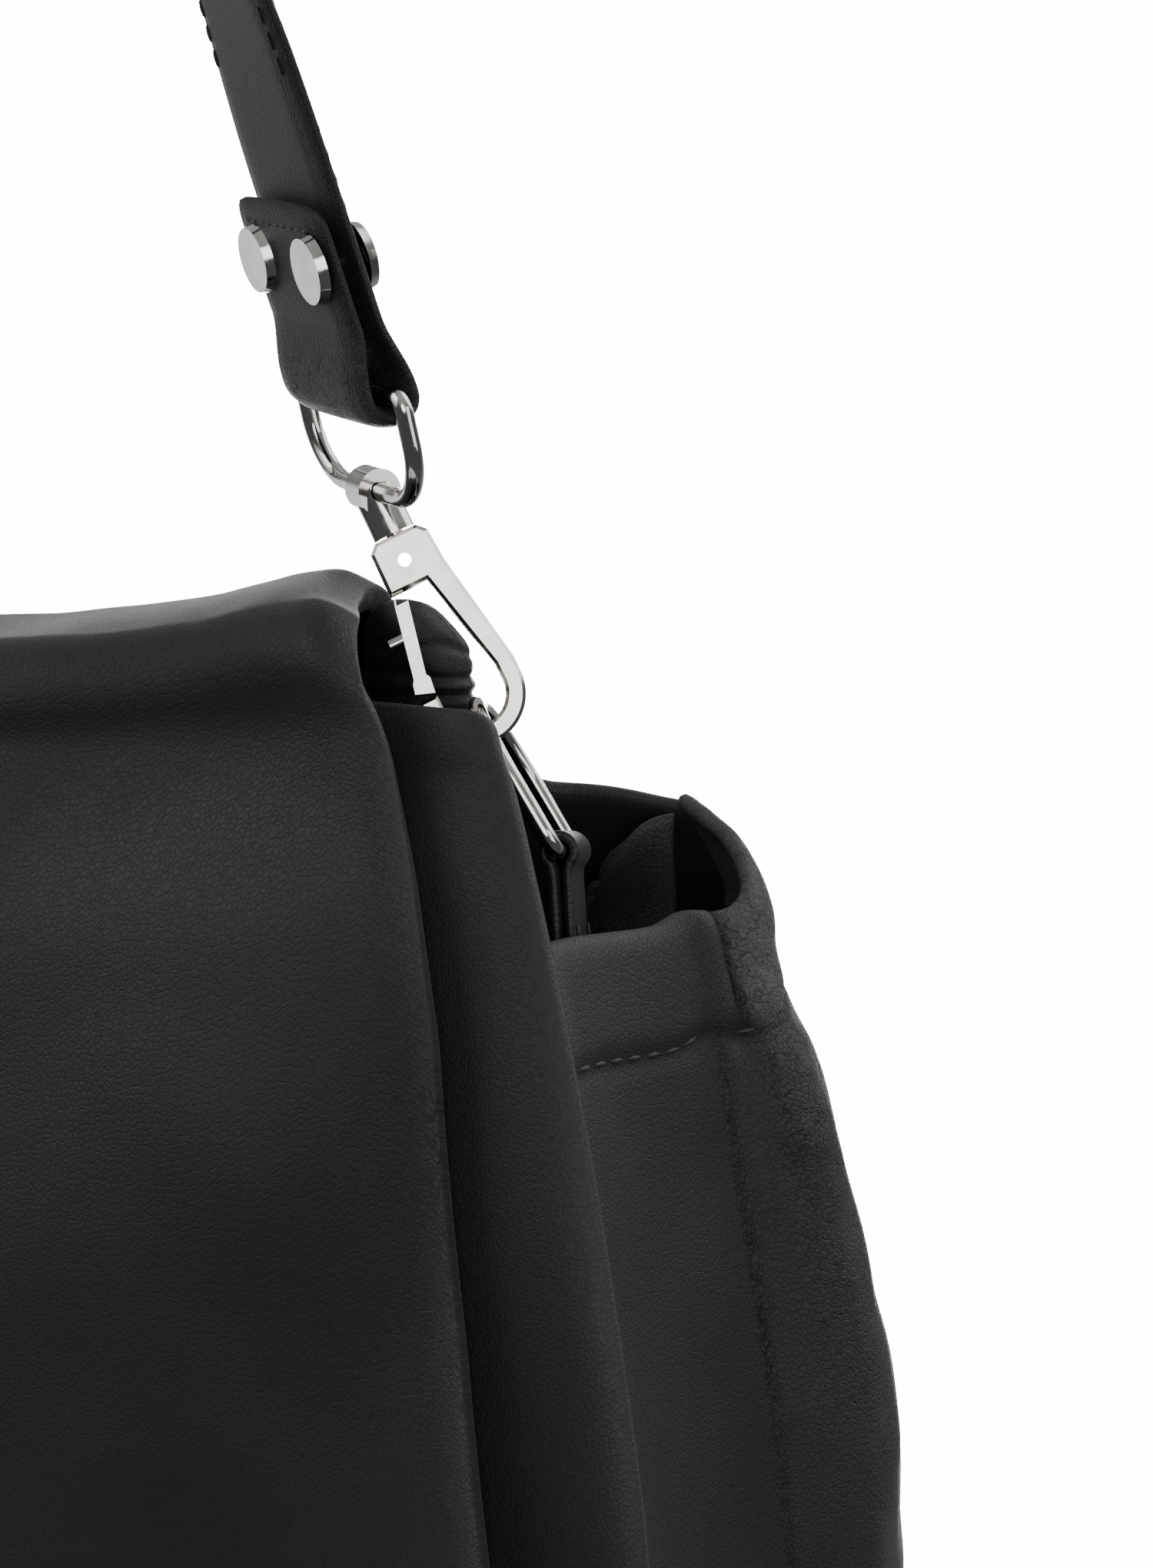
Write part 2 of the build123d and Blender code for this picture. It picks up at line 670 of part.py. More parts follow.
# ---------------------------------------------------------------- pieces out
pieces = {
    "front_panel": front_panel.part,
    "back_panel": back_panel.part,
    "gusset_right": gusset_right.part,
    "gusset_left": mirrored(gusset_right.part),
    "hem_right": hem_right.part,
    "hem_left": mirrored(hem_right.part),
    "base_panel": base_panel.part,
    "base_board": base_board.part,
    "inner_pocket": inner_pocket.part,
    "front_facing": front_facing.part,
    "flap_root": flap_root.part,
    "flap_top": flap_top.part,
    "flap_front": flap_front.part,
    "snap_socket": snap_socket.part,
    "snap_stud": snap_stud.part,
    "bag_ring_right": bag_ring_right.part,
    "bag_ring_left": mirrored(bag_ring_right.part),
    "chape_right": chape_right.part,
    "chape_left": mirrored(chape_right.part),
    "hook_right": hook_right.part,
    "hook_left": mirrored(hook_right.part),
    "gate_right": gate_right.part,
    "gate_left": mirrored(gate_right.part),
    "gate_rivet_right": gate_rivet_right.part,
    "gate_rivet_left": mirrored(gate_rivet_right.part),
    "eye_right": eye_right.part,
    "eye_left": mirrored(eye_right.part),
    "loop_right": loop_right.part,
    "loop_left": mirrored(loop_right.part),
    "strap": strap.part,
    "strap_rivets": strap_rivets.part,
}

os.makedirs("parts", exist_ok=True)
for name, made in pieces.items():
    made.label = name
    box = made.bounding_box()
    print(name, len(made.solids()), round(made.volume), box.min, box.max)
    export_step(made, f"parts/{name}.step")
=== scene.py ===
import math

import bmesh
import bpy
import numpy as np
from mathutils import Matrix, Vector, noise


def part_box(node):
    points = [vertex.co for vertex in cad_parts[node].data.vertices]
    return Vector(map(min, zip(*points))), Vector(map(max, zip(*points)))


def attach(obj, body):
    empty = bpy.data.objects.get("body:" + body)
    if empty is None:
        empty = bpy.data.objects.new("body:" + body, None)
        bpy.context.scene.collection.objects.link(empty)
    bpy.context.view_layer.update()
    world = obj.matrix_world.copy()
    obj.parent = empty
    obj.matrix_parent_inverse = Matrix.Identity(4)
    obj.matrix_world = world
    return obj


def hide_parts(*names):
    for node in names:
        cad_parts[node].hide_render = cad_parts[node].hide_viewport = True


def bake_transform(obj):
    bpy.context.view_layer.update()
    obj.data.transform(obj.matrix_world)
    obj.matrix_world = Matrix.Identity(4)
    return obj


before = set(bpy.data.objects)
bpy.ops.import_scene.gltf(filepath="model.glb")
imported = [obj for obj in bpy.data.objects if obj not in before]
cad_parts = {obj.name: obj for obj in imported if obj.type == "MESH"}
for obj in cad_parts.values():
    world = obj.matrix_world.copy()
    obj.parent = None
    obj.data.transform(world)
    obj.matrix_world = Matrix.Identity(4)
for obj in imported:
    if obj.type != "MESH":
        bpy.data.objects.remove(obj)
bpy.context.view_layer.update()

# ------------------------------------------------------------------ studio
# A pale table under a bright, even surround, with a large soft light high on the left and a
# second one low on the right. The bag stands on the table with its strap held up.
scene = bpy.context.scene

camera = bpy.data.objects.new("camera", bpy.data.cameras.new("camera"))
scene.collection.objects.link(camera)
camera.location = (0.3831, -0.52787, 0.36394)
look = Vector((0.13507, 0.00403, 0.2392)) - camera.location
camera.rotation_euler = look.to_track_quat("-Z", "Y").to_euler()
camera.data.lens = 100
camera.data.sensor_width = 36
camera.data.clip_start = 0.01
scene.camera = camera


class Wire:
    """A node socket that can be written into sums, so shader maths reads like arithmetic."""

    def __init__(self, tree, socket):
        self.tree = tree
        self.socket = socket

    def node(self, kind, settings=None, out=0, **values):
        """Adds a node of a type: its settings first, then its sockets' values or links.

        i0, i1 and so on are sockets by number, and an underscore stands for a space in a name.
        """
        made = self.tree.nodes.new(kind)
        for key, value in (settings or {}).items():
            setattr(made, key, value)
        for key, value in values.items():
            place = int(key[1:]) if key[0] == "i" and key[1:].isdigit() else key.replace("_", " ")
            socket = made.inputs[place]
            if isinstance(value, Wire):
                self.tree.links.new(value.socket, socket)
            else:
                socket.default_value = value
        return Wire(self.tree, made.outputs[out])

    def maths(self, operation, *terms):
        return self.node(
            "ShaderNodeMath",
            {"operation": operation},
            **{f"i{k}": term for k, term in enumerate(terms)},
        )

    def __add__(self, other):
        return self.maths("ADD", self, other)

    __radd__ = __add__

    def __mul__(self, other):
        return self.maths("MULTIPLY", self, other)

    __rmul__ = __mul__

    def __sub__(self, other):
        return self.maths("SUBTRACT", self, other)

    def __rsub__(self, other):
        return self.maths("SUBTRACT", other, self)

    def clamp(self, low, high):
        """0 at low and 1 at high, held between them."""
        return self.node(
            "ShaderNodeMapRange",
            {"interpolation_type": "SMOOTHSTEP"},
            Value=self,
            From_Min=low,
            From_Max=high,
        )

    def into(self, made, name):
        """Links this value to a node's socket."""
        self.tree.links.new(self.socket, made.inputs[name])

    def tint(self, dark, light):
        """A colour between two, by this value."""
        return self.node("ShaderNodeMix", {"data_type": "RGBA"}, 2, i0=self, i6=dark, i7=light)


def new_finish(name):
    """A new material: (material, its shader node, a wire to write maths from)."""
    material = bpy.data.materials.new(name)
    material.use_nodes = True
    shader = next(n for n in material.node_tree.nodes if n.type == "BSDF_PRINCIPLED")
    return material, shader, Wire(material.node_tree, None)


world = bpy.data.worlds.new("surround")
scene.world = world
world.use_nodes = True
sky = Wire(world.node_tree, None)
way = sky.node("ShaderNodeTexCoord", out=0)
height = sky.node("ShaderNodeSeparateXYZ", out=2, i0=way)


def card(toward, narrow, wide):
    """1 inside a round patch of the surround in a direction, 0 outside; the two are cosines."""
    aim = tuple(Vector(toward).normalized())
    toward_it = sky.node("ShaderNodeVectorMath", {"operation": "DOT_PRODUCT"}, 1, i0=way, i1=aim)
    return toward_it.clamp(wide, narrow)


glow = 0.09 + height.clamp(0.1, 0.95) * 0.35
for toward, narrow, wide, strength in (
    (look, 0.972, 0.944, 15),
    (look, 0.9, 0.2, 0.25),
    ((0.52, -0.80, 0.30), 0.97, 0.92, 3.2),
    ((-0.75, -0.45, 0.48), 0.93, 0.80, 0.8),
    ((-0.87, 0.32, -0.37), 0.95, 0.85, 0.9),
    ((0.42, 0.72, 0.55), 0.96, 0.84, 2.4),
):
    glow = glow + card(toward, narrow, wide) * strength
backing = next(n for n in world.node_tree.nodes if n.type == "BACKGROUND")
backing.inputs["Color"].default_value = (1, 1, 1, 1)
glow.into(backing, "Strength")

table_radius = 0.26
table, table_shader, _ = new_finish("table_top")
table_shader.inputs["Base Color"].default_value = (0.86, 0.86, 0.86, 1)
table_shader.inputs["Roughness"].default_value = 0.7
floor_mesh = bmesh.new()
bmesh.ops.create_circle(floor_mesh, cap_ends=True, segments=96, radius=table_radius)
floor_data = bpy.data.meshes.new("floor")
floor_mesh.to_mesh(floor_data)
floor_data.materials.append(table)
floor = bpy.data.objects.new("floor", floor_data)
scene.collection.objects.link(floor)

for lamp_name, place, size, watts in (
    ("key", (-0.9, -0.9, 1.5), 1.2, 9),
    ("fill", (1.6, -0.2, 0.5), 1.0, 6),
):
    lamp = bpy.data.objects.new(lamp_name, bpy.data.lights.new(lamp_name, "AREA"))
    lamp.data.size = size
    lamp.data.energy = watts
    lamp.location = place
    lamp.rotation_euler = (Vector((0.1, 0, 0.22)) - lamp.location).to_track_quat("-Z", "Y").to_euler()
    scene.collection.objects.link(lamp)

# ------------------------------------------------------------------ front panel
# Two layers of soft black calf leather with a thin backing, cut as one piece with the turned
# edge folded in all round. Its top carries a narrow turned hem, and it leans back to the mouth.
mouth_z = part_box("front_panel")[1][2]
panel_t = 0.0027


def bend(points):
    """Distance from the middle at a height, on the circle through three (distance, height) points."""
    (x1, z1), (x2, z2), (x3, z3) = points
    a = np.array([[x2 - x1, z2 - z1], [x3 - x1, z3 - z1]]) * 2
    b = np.array([x2**2 - x1**2 + z2**2 - z1**2, x3**2 - x1**2 + z3**2 - z1**2])
    cx, cz = np.linalg.solve(a, b)
    r = math.hypot(x1 - cx, z1 - cz)
    return lambda z: cx + np.sqrt(np.maximum(r * r - (z - cz) ** 2, 1e-9))


depth_bend = bend([(0.050, 0.100), (0.043, 0.177), (0.014, 0.252)])
width_bend = bend([(0.172, 0.100), (0.163, 0.170), (0.129, 0.252)])


def tucked_under(z):
    """How far the walls roll in towards the base."""
    return 0.0034 * np.clip(1 - z / 0.020, 0, 1) ** 2


def half_depth(z):
    z = np.minimum(z, 0.252)
    return np.where(z < 0.1, 0.046 + 0.04 * z, depth_bend(np.maximum(z, 0.1))) - tucked_under(z)


def half_width(z):
    z = np.minimum(z, 0.252)
    return np.where(z < 0.1, 0.170 + 0.02 * z, width_bend(np.maximum(z, 0.1))) - tucked_under(z)


def ease(value, low, high):
    """0 at low and 1 at high, with no corner at either."""
    t = np.clip((value - low) / (high - low), 0, 1)
    return t * t * (3 - 2 * t)


def rumple(points, size, seed, octaves=2):
    """Smooth noise from -1 to 1 at an array of points, with lumps of about that size in metres."""
    flat = points.reshape(-1, 3) / size
    shift = Vector((seed * 7.31, seed * 3.17, seed * 5.73))
    found = [noise.fractal(Vector(p) + shift, 0.6, 2.0, octaves) for p in flat]
    return np.array(found).reshape(points.shape[:-1])


def crowded(count, pull=0.5):
    """Steps from -1 to 1, closer together at both ends."""
    t = np.linspace(-1, 1, count)
    return (1 - pull) * t + pull * np.sin(t * math.pi / 2)


def grid_normals(grid):
    """Unit normals of a grid of points: across its rows crossed with along its columns."""
    across = np.gradient(grid, axis=1)
    along = np.gradient(grid, axis=0)
    found = np.cross(across, along)
    return found / np.maximum(np.linalg.norm(found, axis=-1, keepdims=True), 1e-12)


def hide(name, grid, thick, material, wear_and_highlight=None):
    """A sheet over a grid of points: given thickness, rounded at its edges, with UVs in metres."""
    rows, cols = grid.shape[:2]
    mesh = bpy.data.meshes.new(name)
    faces = [
        (r * cols + c, r * cols + c + 1, (r + 1) * cols + c + 1, (r + 1) * cols + c)
        for r in range(rows - 1)
        for c in range(cols - 1)
    ]
    mesh.from_pydata(grid.reshape(-1, 3).tolist(), [], faces)
    steps_u = np.linalg.norm(np.diff(grid, axis=1), axis=-1)
    steps_v = np.linalg.norm(np.diff(grid, axis=0), axis=-1)
    u = np.concatenate([np.zeros((rows, 1)), np.cumsum(steps_u, axis=1)], axis=1)
    u = u - u[:, cols // 2 : cols // 2 + 1]
    v = np.concatenate([np.zeros((1, cols)), np.cumsum(steps_v, axis=0)], axis=0)
    layer = mesh.uv_layers.new(name="cut")
    flat_u, flat_v = u.ravel(), v.ravel()
    corner = np.array([loop.vertex_index for loop in mesh.loops])
    layer.data.foreach_set("uv", np.stack([flat_u[corner], flat_v[corner]], axis=1).ravel())
    near = np.minimum(np.minimum(u - u[:, :1], u[:, -1:] - u), np.minimum(v, v[-1:] - v))
    # The second attribute holds wear, and on the gussets also a painted highlight.
    for key, values in (("edge", 1 - ease(near, 0.0, 0.005)), ("wear_and_highlight", wear_and_highlight)):
        data = mesh.attributes.new(key, "FLOAT", "POINT").data
        data.foreach_set("value", np.zeros(rows * cols) if values is None else values.ravel())
    made = bpy.data.objects.new(name, mesh)
    scene.collection.objects.link(made)
    solid = made.modifiers.new("thickness", "SOLIDIFY")
    solid.thickness = thick
    solid.offset = 0.0
    solid.use_even_offset = False
    smooth = made.modifiers.new("smooth", "SUBSURF")
    smooth.levels = smooth.render_levels = 1
    return settled(made, material)


def settled(made, material):
    """Applies the modifiers, shades smooth and gives the material."""
    scene.view_layers[0].update()
    graph = bpy.context.evaluated_depsgraph_get()
    mesh = bpy.data.meshes.new_from_object(
        made.evaluated_get(graph), preserve_all_data_layers=True, depsgraph=graph
    )
    made.modifiers.clear()
    made.data = mesh
    mesh.polygons.foreach_set("use_smooth", [True] * len(mesh.polygons))
    mesh.materials.clear()
    mesh.materials.append(material)
    return made


def leather(name, dark, light, rough=0.46, grain=1.0):
    """Black leather: pebbled grain with pores, cracks where worn, mottled sheen, paler edges, painted
    shade in the grain's valleys, and paler colour where the wear value is high, partly rubbing and
    partly a painted highlight.
    """
    material, shader, wire = new_finish(name)
    cut = wire.node("ShaderNodeTexCoord", out=2)
    mm = wire.node("ShaderNodeVectorMath", {"operation": "SCALE"}, i0=cut, i3=1000.0)
    waver = wire.node(
        "ShaderNodeTexNoise", {"noise_dimensions": "3D"}, 1, Vector=mm, Scale=0.35, Detail=3.0
    )
    nudge = wire.node("ShaderNodeVectorMath", {"operation": "SCALE"}, i0=waver, i3=1.6)
    bent = wire.node("ShaderNodeVectorMath", {"operation": "ADD"}, i0=mm, i1=nudge)
    pull = wire.node("ShaderNodeVectorMath", {"operation": "SCALE"}, i0=waver, i3=9.0)
    drawn = wire.node("ShaderNodeVectorMath", {"operation": "ADD"}, i0=mm, i1=pull)
    edge_way = {"feature": "DISTANCE_TO_EDGE", "voronoi_dimensions": "2D"}
    pebble = wire.node("ShaderNodeTexVoronoi", edge_way, Vector=bent, Scale=1.15).clamp(0.0, 0.22)
    flat_way = {"noise_dimensions": "2D"}
    pores = wire.node("ShaderNodeTexNoise", flat_way, Vector=mm, Scale=3.2, Detail=2.0)
    cracks = 1 - wire.node("ShaderNodeTexVoronoi", edge_way, Vector=drawn, Scale=0.22).clamp(0.0, 0.05)
    fine = 1 - wire.node("ShaderNodeTexVoronoi", edge_way, Vector=drawn, Scale=0.55).clamp(0.0, 0.08)
    blotch = wire.node("ShaderNodeTexNoise", flat_way, Vector=mm, Scale=0.016, Detail=2.0)
    patch = wire.node("ShaderNodeTexNoise", flat_way, Vector=mm, Scale=0.09, Detail=2.0)
    # The wear value: real wear in grain and cracks, and on the gussets also a painted highlight.
    wear_and_highlight = wire.node("ShaderNodeAttribute", {"attribute_name": "wear_and_highlight"}, 2)
    edge = wire.node("ShaderNodeAttribute", {"attribute_name": "edge"}, 2)
    where = wear_and_highlight * (0.35 + patch) * wear_and_highlight.clamp(0.2, 0.7)
    lines = (cracks + fine * 0.6) * where
    mottle = blotch.clamp(0.32, 0.68)
    coarse = 0.4 + wear_and_highlight * 0.9
    height = (pebble * (0.42 * grain) + pores * 0.25) * coarse - lines * 1.1
    wire.node("ShaderNodeBump", Height=height, Strength=0.75, Distance=0.0003).into(shader, "Normal")
    # Paler colour where the wear value passes 0.6. At the strap's folds this is rubbing. On the
    # gusset's hem band, upper back and fold ridge it is a painted highlight, where those faces catch
    # the light.
    rub_and_highlight = wear_and_highlight.clamp(0.6, 1.0) * (0.55 + patch * 0.5)
    # pebble * coarse darkens the grain's valleys in the colour: painted shade in the recesses, stronger
    # where the grain is coarse.
    shade = mottle * 0.13 + pebble * coarse * 0.09 + edge * 0.22 + rub_and_highlight * 1.15 - lines * 0.55 + 0.10
    shade.clamp(-0.12, 1.2).tint((*dark, 1), (*light, 1)).into(shader, "Base Color")
    (rough + 0.09 * (1 - mottle) - 0.06 * edge + 0.16 * lines + 0.08 * pores).into(shader, "Roughness")
    shader.inputs["Specular IOR Level"].default_value = 0.27
    shader.inputs["Sheen Weight"].default_value = 0.06
    shader.inputs["Sheen Roughness"].default_value = 0.45
    shader.inputs["Sheen Tint"].default_value = (0.75, 0.75, 0.85, 1)
    return material


calf = leather("black_calf", (0.0040, 0.0040, 0.0047), (0.062, 0.060, 0.067))

mouth_half = 0.129
across = crowded(61)
rise = np.concatenate([np.linspace(0, 0.9, 46), np.linspace(0.9, 1, 14)[1:]])
reach = np.abs(across) * mouth_half
lip = mouth_z - 0.007 * (1 - ease(reach, 0.06, 0.1)) - 0.0018 * ease(reach, 0.127, 0.1295)
z = 0.002 + rise[:, None] * (lip[None, :] - 0.002)
x = across[None, :] * (half_width(z) + 0.0006)
y = -(half_depth(z) - panel_t / 2)
hem_step = 0.0007 * ease(z, lip[None, :] - 0.0075, lip[None, :] - 0.0062)
curl = 0.0022 * ease(np.abs(across)[None, :], 0.975, 1.0) * np.ones_like(z)
grid = np.stack([x, y - hem_step + curl, z], axis=-1)
sag = rumple(grid, 0.06, 1) * 0.0011 + rumple(grid, 0.02, 2) * 0.00025
grid[..., 1] -= sag * ease(z, 0.0, 0.04)
front_hide = hide("front_panel_leather", grid[:, ::-1], panel_t, calf)
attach(front_hide, "bag")
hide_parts("front_panel", "front_facing")

# ------------------------------------------------------------------ back panel
# The same hide as the front, one piece. Towards each end its top edge slumps outwards, lower than
# in the middle, where the gusset is gathered into it.
back_across = crowded(57)
back_rise = np.concatenate([np.linspace(0, 0.85, 40), np.linspace(0.85, 1, 16)[1:]])
reach = np.abs(back_across) * 0.136
lip = mouth_z - 0.0195 * ease(reach, 0.097, 0.115) - 0.001 * ease(reach, 0.12, 0.135)
z = 0.002 + back_rise[:, None] * (lip[None, :] - 0.002)
x = back_across[None, :] * (half_width(z) - 0.0025)


def back_slump(x, z):
    """How far the back's ends lean out past their plain slope."""
    slump = 0.0015 * ease(z, 0.12, 0.17) + 0.0095 * ease(z, 0.17, 0.235)
    return slump * ease(np.abs(x), 0.098, 0.122)


round_off = ease(np.abs(back_across)[None, :], 0.90, 1.0) * (1 - 0.7 * ease(z, 0.16, 0.21))
y = half_depth(z) - panel_t / 2 + back_slump(x, z) - 0.0075 * round_off
x = x - np.sign(x) * 0.0012 * round_off
x = x + 0.0030 * back_across[None, :] ** 5 * ease(z, 0.185, 0.222)
grid = np.stack([x, y, z], axis=-1)
sag = rumple(grid, 0.055, 3) * 0.0013 + rumple(grid, 0.02, 4) * 0.0003
grid[..., 1] += sag * ease(z, 0.0, 0.04)
back_hide = hide("back_panel_leather", grid, panel_t, calf)
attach(back_hide, "bag")
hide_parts("back_panel")


# ------------------------------------------------------------------ gussets
# Each end is one soft piece folded outwards down its middle, so the end closes like bellows. Its rim
# is turned over in a wide hem, sewn with one row of thread, and slumps into a pleat at the back.
gusset_t = 0.0025
hem_h = 0.0145
front_steps = crowded(19, 0.3) * 0.5 + 0.5
back_steps = crowded(25, 0.3) * 0.5 + 0.5
fold_at = len(front_steps) - 1
share = np.concatenate([front_steps * 0.5, 0.5 + back_steps[1:] * 0.5])
climb = np.concatenate([np.linspace(0, 0.82, 40), np.linspace(0.82, 1.0, 24)[1:]])


def bell(value, middle, spread):
    """1 at the middle, falling smoothly to nothing on both sides."""
    return np.exp(-(((value - middle) / spread) ** 2))


def rim_height(t):
    """Height of the gusset's rim, from the front seam at 0 by the fold at 0.5 to the back seam at 1."""
    dip = 0.2228 - 0.0025 * ease(t, 0.0, 0.42) + 0.0012 * bell(t, 0.47, 0.05)
    return dip + 0.0115 * ease(t, 0.55, 0.98)


def fold_depth(z):
    """Where the outward fold runs, from front to back."""
    heights = [0.0, 0.09, 0.131, 0.169, 0.203, 0.221]
    depths = [-0.004, -0.008, -0.0085, -0.0035, 0.0035, 0.0095]
    return np.interp(z, heights, depths)


def gusset_grid():
    """Middle surface of the right-hand gusset."""
    t = share[None, :]
    z = 0.002 + climb[:, None] * (rim_height(t) - 0.002)
    rim_near = ease(z, 0.185, 0.222)
    fx, fy = half_width(z) - 0.0022, -(half_depth(z) - 0.0036)
    rx, ry = half_width(z) + 0.0012 + 0.0036 * rim_near, fold_depth(z)
    bx = half_width(z) - 0.0047 + 0.0030 * rim_near
    by = half_depth(z) - 0.0025 + 0.0108 * ease(z, 0.17, 0.235)
    by = by - 0.0075 * (1 - 0.7 * ease(z, 0.16, 0.21))
    front, back = np.clip(t * 2, 0, 1), np.clip(t * 2 - 1, 0, 1)
    x = np.where(t <= 0.5, fx + (rx - fx) * front, rx + (bx - rx) * back)
    y = np.where(t <= 0.5, fy + (ry - fy) * front, ry + (by - ry) * back)
    x = x - 0.0016 * np.sin(front * math.pi) * (t <= 0.5) * ease(z, 0.02, 0.1)
    puff = 0.0105 * ease(z, 0.07, 0.15) * (1 - 0.55 * ease(z, 0.188, 0.216)) + 0.002
    x = x + puff * np.sin(np.clip(back, 0, 1) ** 0.85 * math.pi) ** 0.9 * (t > 0.5)
    tuck = bell(back, 0.1, 0.06) * ease(z, 0.196, 0.215) * (t > 0.5)
    x = x - 0.0022 * tuck + 0.0011 * bell(t, 0.5, 0.022) * ease(z, 0.02, 0.08)
    roll = ease(z, rim_height(t) - 0.0022, rim_height(t))
    x = x - 0.0008 * roll
    return np.stack([x, y, z], axis=-1)


def gusset_shape():
    """The middle surface with its hem, creases and puckers, and a value at each point for its wear and
    its painted highlight.
    """
    grid = gusset_grid()
    t, z = share[None, :] * np.ones(grid.shape[:2]), grid[..., 2]
    out = grid_normals(grid)
    out = out * np.sign(out[..., :1].mean())
    below = rim_height(t) - z
    hem = ease(below, hem_h + 0.0005, hem_h - 0.0003) * (0.0009 + 0.0006 * ease(t, 0.48, 0.56))
    groove = bell(below, hem_h + 0.0005, 0.0009) * (0.0007 + 0.0008 * ease(t, 0.48, 0.6))
    back = np.clip(t * 2 - 1, 0, 1)
    pucker = np.sin(z * 700 + 2.2 * rumple(grid, 0.012, 7)) * 0.0003 * ease(below, 0.05, 0.016)
    wave = rumple(grid, 0.034, 5) * (0.0007 + 0.0016 * back * ease(z, 0.02, 0.09))
    small = rumple(grid, 0.010, 6) * 0.00060 * (0.15 + ease(back, 0.0, 0.3))
    small = small + rumple(grid, 0.0045, 8) * 0.00022 * ease(back, 0.0, 0.2)
    fade = ease(t, 0.0, 0.07) * ease(t, 1.0, 0.93) * ease(z, 0.002, 0.04) * (1 - bell(t, 0.5, 0.03))
    lift = hem - groove + (wave + small + pucker * back) * fade
    turned = ease(below, hem_h + 0.002, hem_h - 0.002)
    # On the back half, rising upwards and on the turned hem band: real wear in the grain and cracks,
    # plus a painted highlight in the colour where these faces catch the light.
    wear_and_highlight = 0.12 + ease(t, 0.5, 0.62) * (0.22 + 0.34 * ease(z, 0.12, 0.20) + 0.42 * turned)
    # A narrow painted highlight along the outward fold's ridge.
    ridge_highlight = 0.55 * bell(t, 0.497, 0.012) * ease(below, 0.004, 0.02)
    return grid + out * lift[..., None], np.clip(wear_and_highlight + ridge_highlight, 0, 1)


def stitches(name, path, out, thread, pitch=0.0042, length=0.0031, radius=0.00036):
    """A row of stitches along a path, each a short rounded bar lying a little into the leather."""
    gaps = np.linalg.norm(np.diff(path, axis=0), axis=-1)
    run = np.concatenate([[0], np.cumsum(gaps)])
    starts = np.arange(pitch * 0.4, run[-1] - length, pitch)
    points, faces = [], []
    rings = [(0.0, 0.25), (0.12, 0.85), (0.5, 1.1), (0.88, 0.85), (1.0, 0.25)]
    sides = 7

    def at(where, field):
        return np.array([np.interp(where, run, field[:, k]) for k in range(3)])

    for start in starts:
        near, far = at(start, path), at(start + length, path)
        up = at(start + length / 2, out)
        ahead = (far - near) / np.linalg.norm(far - near)
        wide = np.cross(ahead, up)
        wide = wide / np.linalg.norm(wide)
        up = np.cross(wide, ahead)
        first = len(points)
        for place, girth in rings:
            middle = near + (far - near) * place + up * radius * (girth - 0.75)
            for s in range(sides):
                angle = 2 * math.pi * s / sides
                points.append(middle + (wide * math.cos(angle) + up * math.sin(angle)) * radius * girth)
        for ring in range(len(rings) - 1):
            for s in range(sides):
                a = first + ring * sides + s
                b = first + ring * sides + (s + 1) % sides
                faces.append((a, b, b + sides, a + sides))
        faces.append(tuple(first + s for s in reversed(range(sides))))
        last = first + (len(rings) - 1) * sides
        faces.append(tuple(last + s for s in range(sides)))
    mesh = bpy.data.meshes.new(name)
    mesh.from_pydata([tuple(p) for p in points], [], faces)
    mesh.polygons.foreach_set("use_smooth", [True] * len(mesh.polygons))
    mesh.materials.append(thread)
    made = bpy.data.objects.new(name, mesh)
    scene.collection.objects.link(made)
    return made


thread, shader, wire = new_finish("black_thread")
place = wire.node("ShaderNodeTexCoord", out=3)
twist = wire.node(
    "ShaderNodeTexWave", {"bands_direction": "DIAGONAL"}, 1, Vector=place, Scale=900.0, Distortion=1.0
)
wire.node("ShaderNodeBump", Height=twist, Strength=0.4, Distance=0.0001).into(shader, "Normal")
twist.tint((0.008, 0.008, 0.009, 1), (0.036, 0.036, 0.04, 1)).into(shader, "Base Color")
shader.inputs["Roughness"].default_value = 0.55

grid, wear_and_highlight = gusset_shape()
out = grid_normals(grid)
out = out * np.sign(out[..., :1].mean())
line, lean = [], []
for k, t in enumerate(share):
    row = np.interp(rim_height(t) - hem_h - 0.0004, grid[:, k, 2], np.arange(len(climb)))
    low = int(row)
    mix = row - low
    line.append(grid[low, k] * (1 - mix) + grid[low + 1, k] * mix)
    lean.append(out[low, k])
line, lean = np.array(line), np.array(lean)
for end, flip in (("right", 1), ("left", -1)):
    turn_over = -1 if flip > 0 else 1
    sewn = (grid * (flip, 1, 1))[:, ::turn_over]
    gusset_hide = hide("gusset_leather_" + end, sewn, gusset_t, calf, wear_and_highlight=wear_and_highlight[:, ::turn_over])
    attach(gusset_hide, "bag")
    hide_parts("gusset_" + end, "hem_" + end)
    seat = (line + lean * (gusset_t / 2 - 0.0001)) * (flip, 1, 1)
    for part, chosen in (("front", slice(1, fold_at)), ("back", slice(fold_at + 1, -2))):
        row = stitches(f"hem_thread_{part}_{end}", seat[chosen], lean[chosen] * (flip, 1, 1), thread)
        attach(row, "bag")

# ------------------------------------------------------------------ flap
# One long piece of the same calf, two layers with a thin stiffening between, edge-turned. It is
# sewn to the back, rolls over the top and hangs down the front. It sags in the middle, so its
# corners stand highest.
flap_t = 0.0042
flap_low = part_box("flap_front")[0][2]
root_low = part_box("flap_root")[0][2]
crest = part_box("flap_top")[1][2] - flap_t / 2
back_bend, back_roll = 0.0102, 0.0070
front_bend, front_roll = -0.0120, 0.0075

